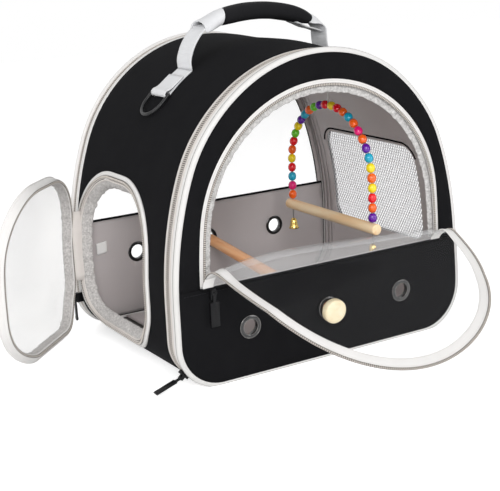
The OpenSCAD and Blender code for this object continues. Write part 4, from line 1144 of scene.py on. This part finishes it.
# A black line along the top of the net window: painted shadow of the seam
top_edge = sorted((q for q in net_window(0.0) if q[1] > 226), key=lambda q: q[0])
swept("net_seam_shadow", BLACK, "carrier", "black_fabric", (),
      top_edge, False, oval(0.0, -4.9, 1.3, 1.1, 10), right_map)
swept("net_inner_binding", LINING, "carrier", "grey_lining", (),
      net_window(0.0), True, rounded(-5.0, 5.5, -4.6, -3.4, 3), right_map)

# Straps and handle
STITCH = ((-1.3, 0.1), (-0.7, 0.28), (0.7, 0.28), (1.3, 0.1))
STRAP_TOP_A, STRAP_A, LOOP_X, LOOP_Z, LOOP_R = 57.5, 45.5, 146.21, 343.51, 3.6
PATCH_A, PATCH_HALF_A, PATCH_HALF_W, PATCH_STITCHES = 51.5, 2.6, 13.0, 10


def ribbon(name, path, width, thick, curl=None):
    """Webbing along a line, with rolled edges and two stitch lines; curl bends it across its width."""
    b = Build()
    q = resample(path, False, 4.0)
    n, s = normals(q, False), lengths(q, False)
    w = width / 2
    top = [(-w, 0.35), (-w + 0.8, 0.5)] + [(w * k / 8, 0.5) for k in range(-6, 7)]
    top += [(w - 0.8, 0.5), (w, 0.35)]
    section = [(y, h * thick) for y, h in top] + [(y, -h * thick) for y, h in reversed(top)]
    rows = []
    for i in range(len(q)):
        bend = curl(s[i] / s[-1]) if curl else 0.0
        row = []
        for y, o in section:
            if bend > 1e-4:
                y, o = math.sin(y * bend) * (1 / bend + o), math.cos(y * bend) * (1 / bend + o) - 1 / bend
            row.append((q[i][0] + n[i][0] * o, HANDLE_Y + y, q[i][1] + n[i][1] * o))
        rows.append(row)
    b.tube(rows)
    for side in () if curl else (-1, 1):
        for i in range(1, len(q) - 1):
            nx, nz = n[i]
            for o in (0.56 * thick, -0.56 * thick):
                centre = Vector((q[i][0] + nx * o, HANDLE_Y + side * (w - 3.0), q[i][1] + nz * o))
                b.thread(centre, Vector((-nz, 0, nx)), Vector((0, 1, 0)), Vector((nx, 0, nz)), STITCH, 1)
    return b.obj(name, [WEBBING, THREAD])


def cuff(name, stations):
    """A strap end curled round the grip; a station is (x, top z, half width, height, half angle, lean)."""
    b = Build()
    across = [-1 + j / 14 for j in range(29)]
    b.grid([[(x + lean * v, HANDLE_Y + ry * sind(half_a * v), z - rz * (1 - cosd(half_a * v)))
             for v in across] for x, z, ry, rz, half_a, lean in smooth_line(stations, 5)])
    return thicken(b.obj(name, [WEBBING]), 2.0)


def crown_point(angle, r):
    return (r * cosd(angle), CROWN_Z + r * sind(angle))


def sewn_strap(side, word, nodes=()):
    """A strap on the crown, ending in the loop that holds its D-ring."""
    crown = arc(0, CROWN_Z, CROWN_R + 1.6, STRAP_TOP_A, STRAP_A, 11)
    loop = arc(LOOP_X, LOOP_Z, LOOP_R, STRAP_A - 180, STRAP_A, 12)
    under = [crown_point(a, CROWN_R + 3.9 + 4.2 * math.exp(-(a - STRAP_A) / 1.4))
             for a in np.linspace(STRAP_A, STRAP_A + 8, 16)]
    strap = ribbon("strap_" + word, [(side * x, z) for x, z in crown + loop + under], 38, 1.9)
    put(strap, "carrier", "strap_webbing", nodes)


def cross_patch(side, word):
    """A stitched box with a cross, where a strap is sewn down."""
    corners = [(-1, -1), (1, -1), (1, 1), (-1, 1)]
    lines = list(zip(corners, corners[1:] + corners[:1]))
    lines += [(corners[0], corners[2]), (corners[3], corners[1])]
    up = Vector((side * cosd(PATCH_A), 0, sind(PATCH_A)))
    b = Build()
    for (u0, v0), (u1, v1) in lines:
        for i in range(PATCH_STITCHES):
            ends = []
            for t in ((i + 0.15) / PATCH_STITCHES, (i + 0.85) / PATCH_STITCHES):
                x, z = crown_point(PATCH_A + PATCH_HALF_A * (u0 + (u1 - u0) * t), CROWN_R + 2.9)
                ends.append(Vector((side * x, HANDLE_Y + PATCH_HALF_W * (v0 + (v1 - v0) * t), z)))
            line = ends[1] - ends[0]
            d, reach = line.normalized(), line.length / 2
            across = d.cross(up).normalized()
            b.thread(ends[0] + line / 2, d, across, d.cross(across), ((-reach, 0.3), (reach, 0.3)))
    b.piece("strap_cross_" + word, [THREAD], "carrier", "strap_webbing")


def bend_riser(o, nodes=()):
    """A riser: it hides the CAD pieces it replaces and bakes its place into its mesh."""
    if nodes:
        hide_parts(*nodes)
    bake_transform(o)


def riser_curl(t):
    return 0.094 * ramp01((t - 0.50) / 0.45)


# Risers go from the shoulders to the grip, and their ends curl round it
RISER_RIGHT = [crown_point(58.6, CROWN_R + 1.8), (104.5, 377.0), (101.5, 385.0), (100.3, 395.0),
               (99.8, 405.0), (98.6, 413.0), (94.6, 420.0), (88.5, 424.8), (80.5, 428.6)]
RISER_UNDER = [(56, 418.6), (64, 415.4), (74, 410.8), (86, 407.6), (98.4, 403.0)]
RISER_LEFT = [crown_point(57.6, CROWN_R + 1.8), (109.6, 377.5), (109.2, 384.0), (106.6, 392.0),
              (103.0, 400.0), (97.6, 408.0), (91.0, 415.6), (84.0, 420.6), (74.0, 423.6), (64.0, 425.0)]
CUFF = [(-86.5, 429.6, 19.4, 14.6, 90, -1.0), (-78.5, 432.0, 18.8, 13.6, 96, 0.0),
        (-70.0, 435.8, 18.2, 12.6, 106, 2.0), (-61.0, 439.8, 17.9, 12.0, 118, 5.0),
        (-51.0, 442.7, 17.8, 11.8, 126, 9.0)]
sewn_strap(1, "right", ["shoulder_straps"])
bend_riser(ribbon("riser_right", smooth_line(RISER_RIGHT, 8), 37, 2.0, riser_curl), ["handle_webbing"])
put(ribbon("riser_under", smooth_line(RISER_UNDER, 6), 25, 1.8), "handle", "strap_webbing")
cross_patch(1, "right")
sewn_strap(-1, "left")
bend_riser(ribbon("riser_left", smooth_line([(-x, z) for x, z in RISER_LEFT], 8), 37, 2.0))
put(cuff("riser_cuff", CUFF), "handle", "strap_webbing")
cross_patch(-1, "left")

# Padded grip: a bowed tube with blunt ends, thinner to the right, and a lengthwise seam below
GRIP_R, GRIP_X, GRIP_Z, GRIP_LEAN = 222.0, 13.0, 436.5, -4.2
GRIP_HALF_W, GRIP_HALF_T, SQUARENESS = 18.0, 11.3, 0.78


def grip_place(u, up=0.0):
    """u runs along the grip from its middle; up stands off its middle line."""
    a = math.asin(u / GRIP_R)
    x, z = (GRIP_R + up) * math.sin(a), (GRIP_R + up) * math.cos(a) - GRIP_R
    c, s = cosd(GRIP_LEAN), sind(GRIP_LEAN)
    return (GRIP_X + x * c - z * s, GRIP_Z + x * s + z * c)


def squared(t):
    return math.copysign(abs(t) ** SQUARENESS, t)


stations = [(-70.2, 0.30), (-69.9, 0.62), (-69.0, 0.78)]
shares = [-1 + 2 * i / 60 for i in range(61)]
stations += [(t * 68.0, 1 - (0.38 if t > 0 else 0.15) * abs(t) ** 5) for t in shares]
stations += [(69.2, 0.55), (70.0, 0.42), (70.3, 0.2)]
rows = []
for u, fall in stations:
    x, z = grip_place(u)
    x1, z1 = grip_place(u, 1.0)
    row = []
    for j in range(40):
        a = 2 * math.pi * j / 40
        y = GRIP_HALF_W * fall ** 0.7 * squared(math.cos(a))
        o = GRIP_HALF_T * fall * squared(math.sin(a))
        dent = 0.9 * math.exp(-((a - 1.5 * math.pi) / 0.10) ** 2)
        k = 1 - (dent - 0.35 * noise.noise(Vector((u / 14, j / 5.0, 3.3)))) / GRIP_HALF_W
        row.append((x + (x1 - x) * o * k, HANDLE_Y + y * k, z + (z1 - z) * o * k))
    rows.append(row)
b = Build()
b.tube(rows)
grip = b.piece("grip", [GRIP], "handle", "grip_cover", ["handle_grip"])

# Swing: its beads go from the rear leg over the top to the front leg, as the photograph shows them
SWING = Vector((98.0, -29.0, 148.0))
ARCH_R, LEG_H, FIRST_BEAD, TOP_GAP, BEAD_R = 96.0, 60.0, 14.75, 7.65, 6.0
BEAD_ROW = ("orange magenta teal red yellow orange red green yellow purple teal orange green purple red "
            "yellow red orange teal orange magenta orange purple teal yellow orange yellow red orange "
            "purple").split()
BEAD_N = len(BEAD_ROW)
BEAD_ANGLES = (-80, -68, -54, -40, -26, -13, 0, 13, 26, 40, 54, 68, 80)
BELL = [(0.6, 0.0), (1.6, -0.2), (2.9, -1.2), (3.9, -2.9), (4.4, -5.4), (4.8, -8.2), (5.5, -10.3),
        (6.5, -11.8), (6.0, -12.0), (4.9, -10.2), (4.2, -8.0), (3.8, -5.4), (3.2, -3.2),
        (2.3, -1.9), (0.6, -1.3)]
leg = LEG_H - FIRST_BEAD
run = 2 * leg + math.pi * ARCH_R
bead_step = (run / 2 - TOP_GAP) / (BEAD_N / 2 - 1)


def on_wire(s):
    """A place on the wire and the wire's direction there, at a length from the first bead."""
    if s < leg:
        y, z, a = ARCH_R, FIRST_BEAD + s, 90.0
    elif s > run - leg:
        y, z, a = -ARCH_R, FIRST_BEAD + run - s, 90.0
    else:
        turn = math.degrees((s - leg) / ARCH_R)
        y, z, a = ARCH_R * cosd(turn), LEG_H + ARCH_R * sind(turn), turn + 90
    return SWING + Vector((0, y, z)), Vector((0, cosd(a), sind(a)))


turned("swing_bar", DOWEL, "swing", "perch_wood", rod(7.5, -105.5, 105.5, 1.0),
       lambda u, v, h: tuple(SWING + Vector((u, h, v))), 40, node_name="swing_dowel")
b = Build()
for i, colour in enumerate(BEAD_ROW):
    place, d = on_wire(i * bead_step if i < BEAD_N / 2 else run - (BEAD_N - 1 - i) * bead_step)
    r = BEAD_R * (1 + 0.03 * rng.uniform(-1, 1))
    place = place + Vector((rng.uniform(-0.25, 0.25), 0, 0))
    profile = [(1.1, -5.6)] + [(r * cosd(t) ** 0.9, 6.6 * sind(t)) for t in BEAD_ANGLES] + [(1.1, 5.6)]
    b.lathe(profile, lambda u, v, h: tuple(place + Vector((u, -d.z * v, d.y * v)) + d * h), 24,
            list(BEAD_COLOURS).index(colour), closed=True)
b.piece("beads", BEAD_MATS, "swing", "bead_plastic", ["beads"])
for name, material in (("swing_wire", WIRE), ("swing_hook", WIRE), ("front_clapper", WIRE),
                       ("rear_clapper", WIRE), ("d_ring_left", RING_BLACK), ("d_ring_right", RING_BLACK)):
    dress(name, material)
for word, side in (("front", -1), ("rear", 1)):
    top = SWING + Vector((0, side * ARCH_R, -20.9))
    turned(word + "_bell", BRASS, word + "_bell", "bell_brass", BELL,
           lambda u, v, h: tuple(top + Vector((1.2 * u, 1.2 * v, 1.3 * h))), 40, closed=True)

# Folded tape sewn under the roof, with the hook through its lower end
line = [(-1.9, 372.5), (-1.9, 348.5)] + arc(0, 346.8, 2.1, 180, 360, 10) + [(1.9, 348.5), (1.9, 372.5)]
q = resample(line, False, 1.4)
upper = [(-8, 0.3), (-7, 0.5), (0, 0.5), (7, 0.5), (8, 0.3)]
section = upper + [(x, -o) for x, o in reversed(upper)]
b = Build()
b.tube([[(SWING.x + x, SWING.y + y + ny * o, z + nz * o) for x, o in section]
        for (y, z), (ny, nz) in zip(q, normals(q, False))])
b.piece("swing_loop", [WEBBING], "carrier", "strap_webbing", ["swing_ceiling_loop"])


# Sliders and pulls
def bevelled(name, material):
    """A copy of a hard CAD piece with its edges rounded."""
    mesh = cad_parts[name].data.copy()
    o = add_object(name + "_round", mesh)
    bm = bmesh.new()
    bm.from_mesh(mesh)
    bmesh.ops.remove_doubles(bm, verts=bm.verts, dist=1e-6)
    bmesh.ops.dissolve_limit(bm, angle_limit=math.radians(2), verts=bm.verts, edges=bm.edges)
    for face in bm.faces:
        face.smooth = True
    bm.to_mesh(mesh)
    bm.free()
    mesh.materials.clear()
    mesh.materials.append(material)
    m = o.modifiers.new("round", "BEVEL")
    m.width, m.segments, m.limit_method, m.angle_limit = 0.7 * MM, 2, "ANGLE", math.radians(40)
    m.harden_normals = False
    return o


HARDWARE = [("window_slider", "front_panel", "gunmetal"), ("front_slider", "front_panel", "gunmetal"),
            ("rear_slider", "rear_panel", "gunmetal"), ("door_slider", "carrier", "gunmetal"),
            ("window_pull", "window_pull", "pull_black"), ("front_pull", "front_pull", "pull_black"),
            ("rear_pull", "rear_pull", "pull_black"), ("door_pull", "door_pull", "gunmetal")]
for name, body, slot in HARDWARE:
    put(bevelled(name, PULL_BLACK), body, slot, [name])

# Floor: it takes the object's shadow and shows near white
floor_mesh = bpy.data.meshes.new("floor")
floor_mesh.from_pydata([(-4, -4, 0), (4, -4, 0), (4, 4, 0), (-4, 4, 0)], [], [(0, 1, 2, 3)])
m, tree, p = new_material("floor")
give(p, Base_Color=(0.86, 0.86, 0.86, 1), Roughness=0.9)
glow = node(tree, "Emission", Strength=0.62)
add = node(tree, "AddShader")
mix = node(tree, "MixShader")
link(tree, p.outputs[0], add.inputs[0])
link(tree, glow.outputs[0], add.inputs[1])
link(tree, seen_directly(tree), mix.inputs[0])
link(tree, p.outputs[0], mix.inputs[1])
link(tree, add.outputs[0], mix.inputs[2])
link(tree, mix.outputs[0], tree.nodes["Material Output"].inputs["Surface"])
floor_mesh.materials.append(m)
floor_o = add_object("floor", floor_mesh)

# World: dim as a light, white where it is seen
scene = bpy.context.scene
scene.view_settings.view_transform = "Standard"
scene.world = bpy.data.worlds.new("studio")
scene.world.use_nodes = True
tree = scene.world.node_tree
dim = give(tree.nodes["Background"], Color=(1, 1, 1, 1), Strength=0.40)
bright = node(tree, "Background", Color=(1, 1, 1, 1), Strength=1.0)
mix = node(tree, "MixShader")
link(tree, seen_directly(tree), mix.inputs[0])
link(tree, dim.outputs[0], mix.inputs[1])
link(tree, bright.outputs[0], mix.inputs[2])
link(tree, mix.outputs[0], tree.nodes["World Output"].inputs["Surface"])


# Lamps
def area(name, place, target, size, power):
    lamp = bpy.data.lights.new(name, "AREA")
    lamp.size, lamp.energy = size, power
    o = add_object(name, lamp)
    o.location = place
    o.rotation_euler = (Vector(target) - Vector(place)).to_track_quat("-Z", "Y").to_euler()


area("key", (-1.0, -2.1, 1.2), (0, 0, 0.15), 1.1, 33)
area("left", (-2.1, -0.5, 1.1), (0, 0, 0.2), 1.2, 16)
area("fill", (1.5, -1.9, 0.9), (-0.1, 0.1, 0.2), 1.0, 15)
area("top", (0.2, 0.5, 2.2), (0, 0, 0.2), 1.6, 4)

# Camera, fitted to the photograph: three turns in radians and its place in millimetres
AZ, EL, ROLL = 0.537, 0.264, -0.044
FOCAL_PX, WIDTH_PX, SENSOR = 1137.886, 500.0, 36.0
CAMERA = Vector((-795.2, -1303.6, 529.3))
turn = Matrix.Rotation(ROLL, 3, "Y") @ Matrix.Rotation(EL, 3, "X") @ Matrix.Rotation(AZ, 3, "Z")
cam = bpy.data.cameras.new("camera")
cam.sensor_width, cam.lens = SENSOR, FOCAL_PX * SENSOR / WIDTH_PX
cam.clip_start, cam.clip_end = 0.05, 30
cam_o = add_object("camera", cam)
axes = Matrix((turn[0], turn[2], -turn[1])).transposed().to_4x4()
cam_o.matrix_world = Matrix.Translation(CAMERA * MM) @ axes
scene.camera = cam_o
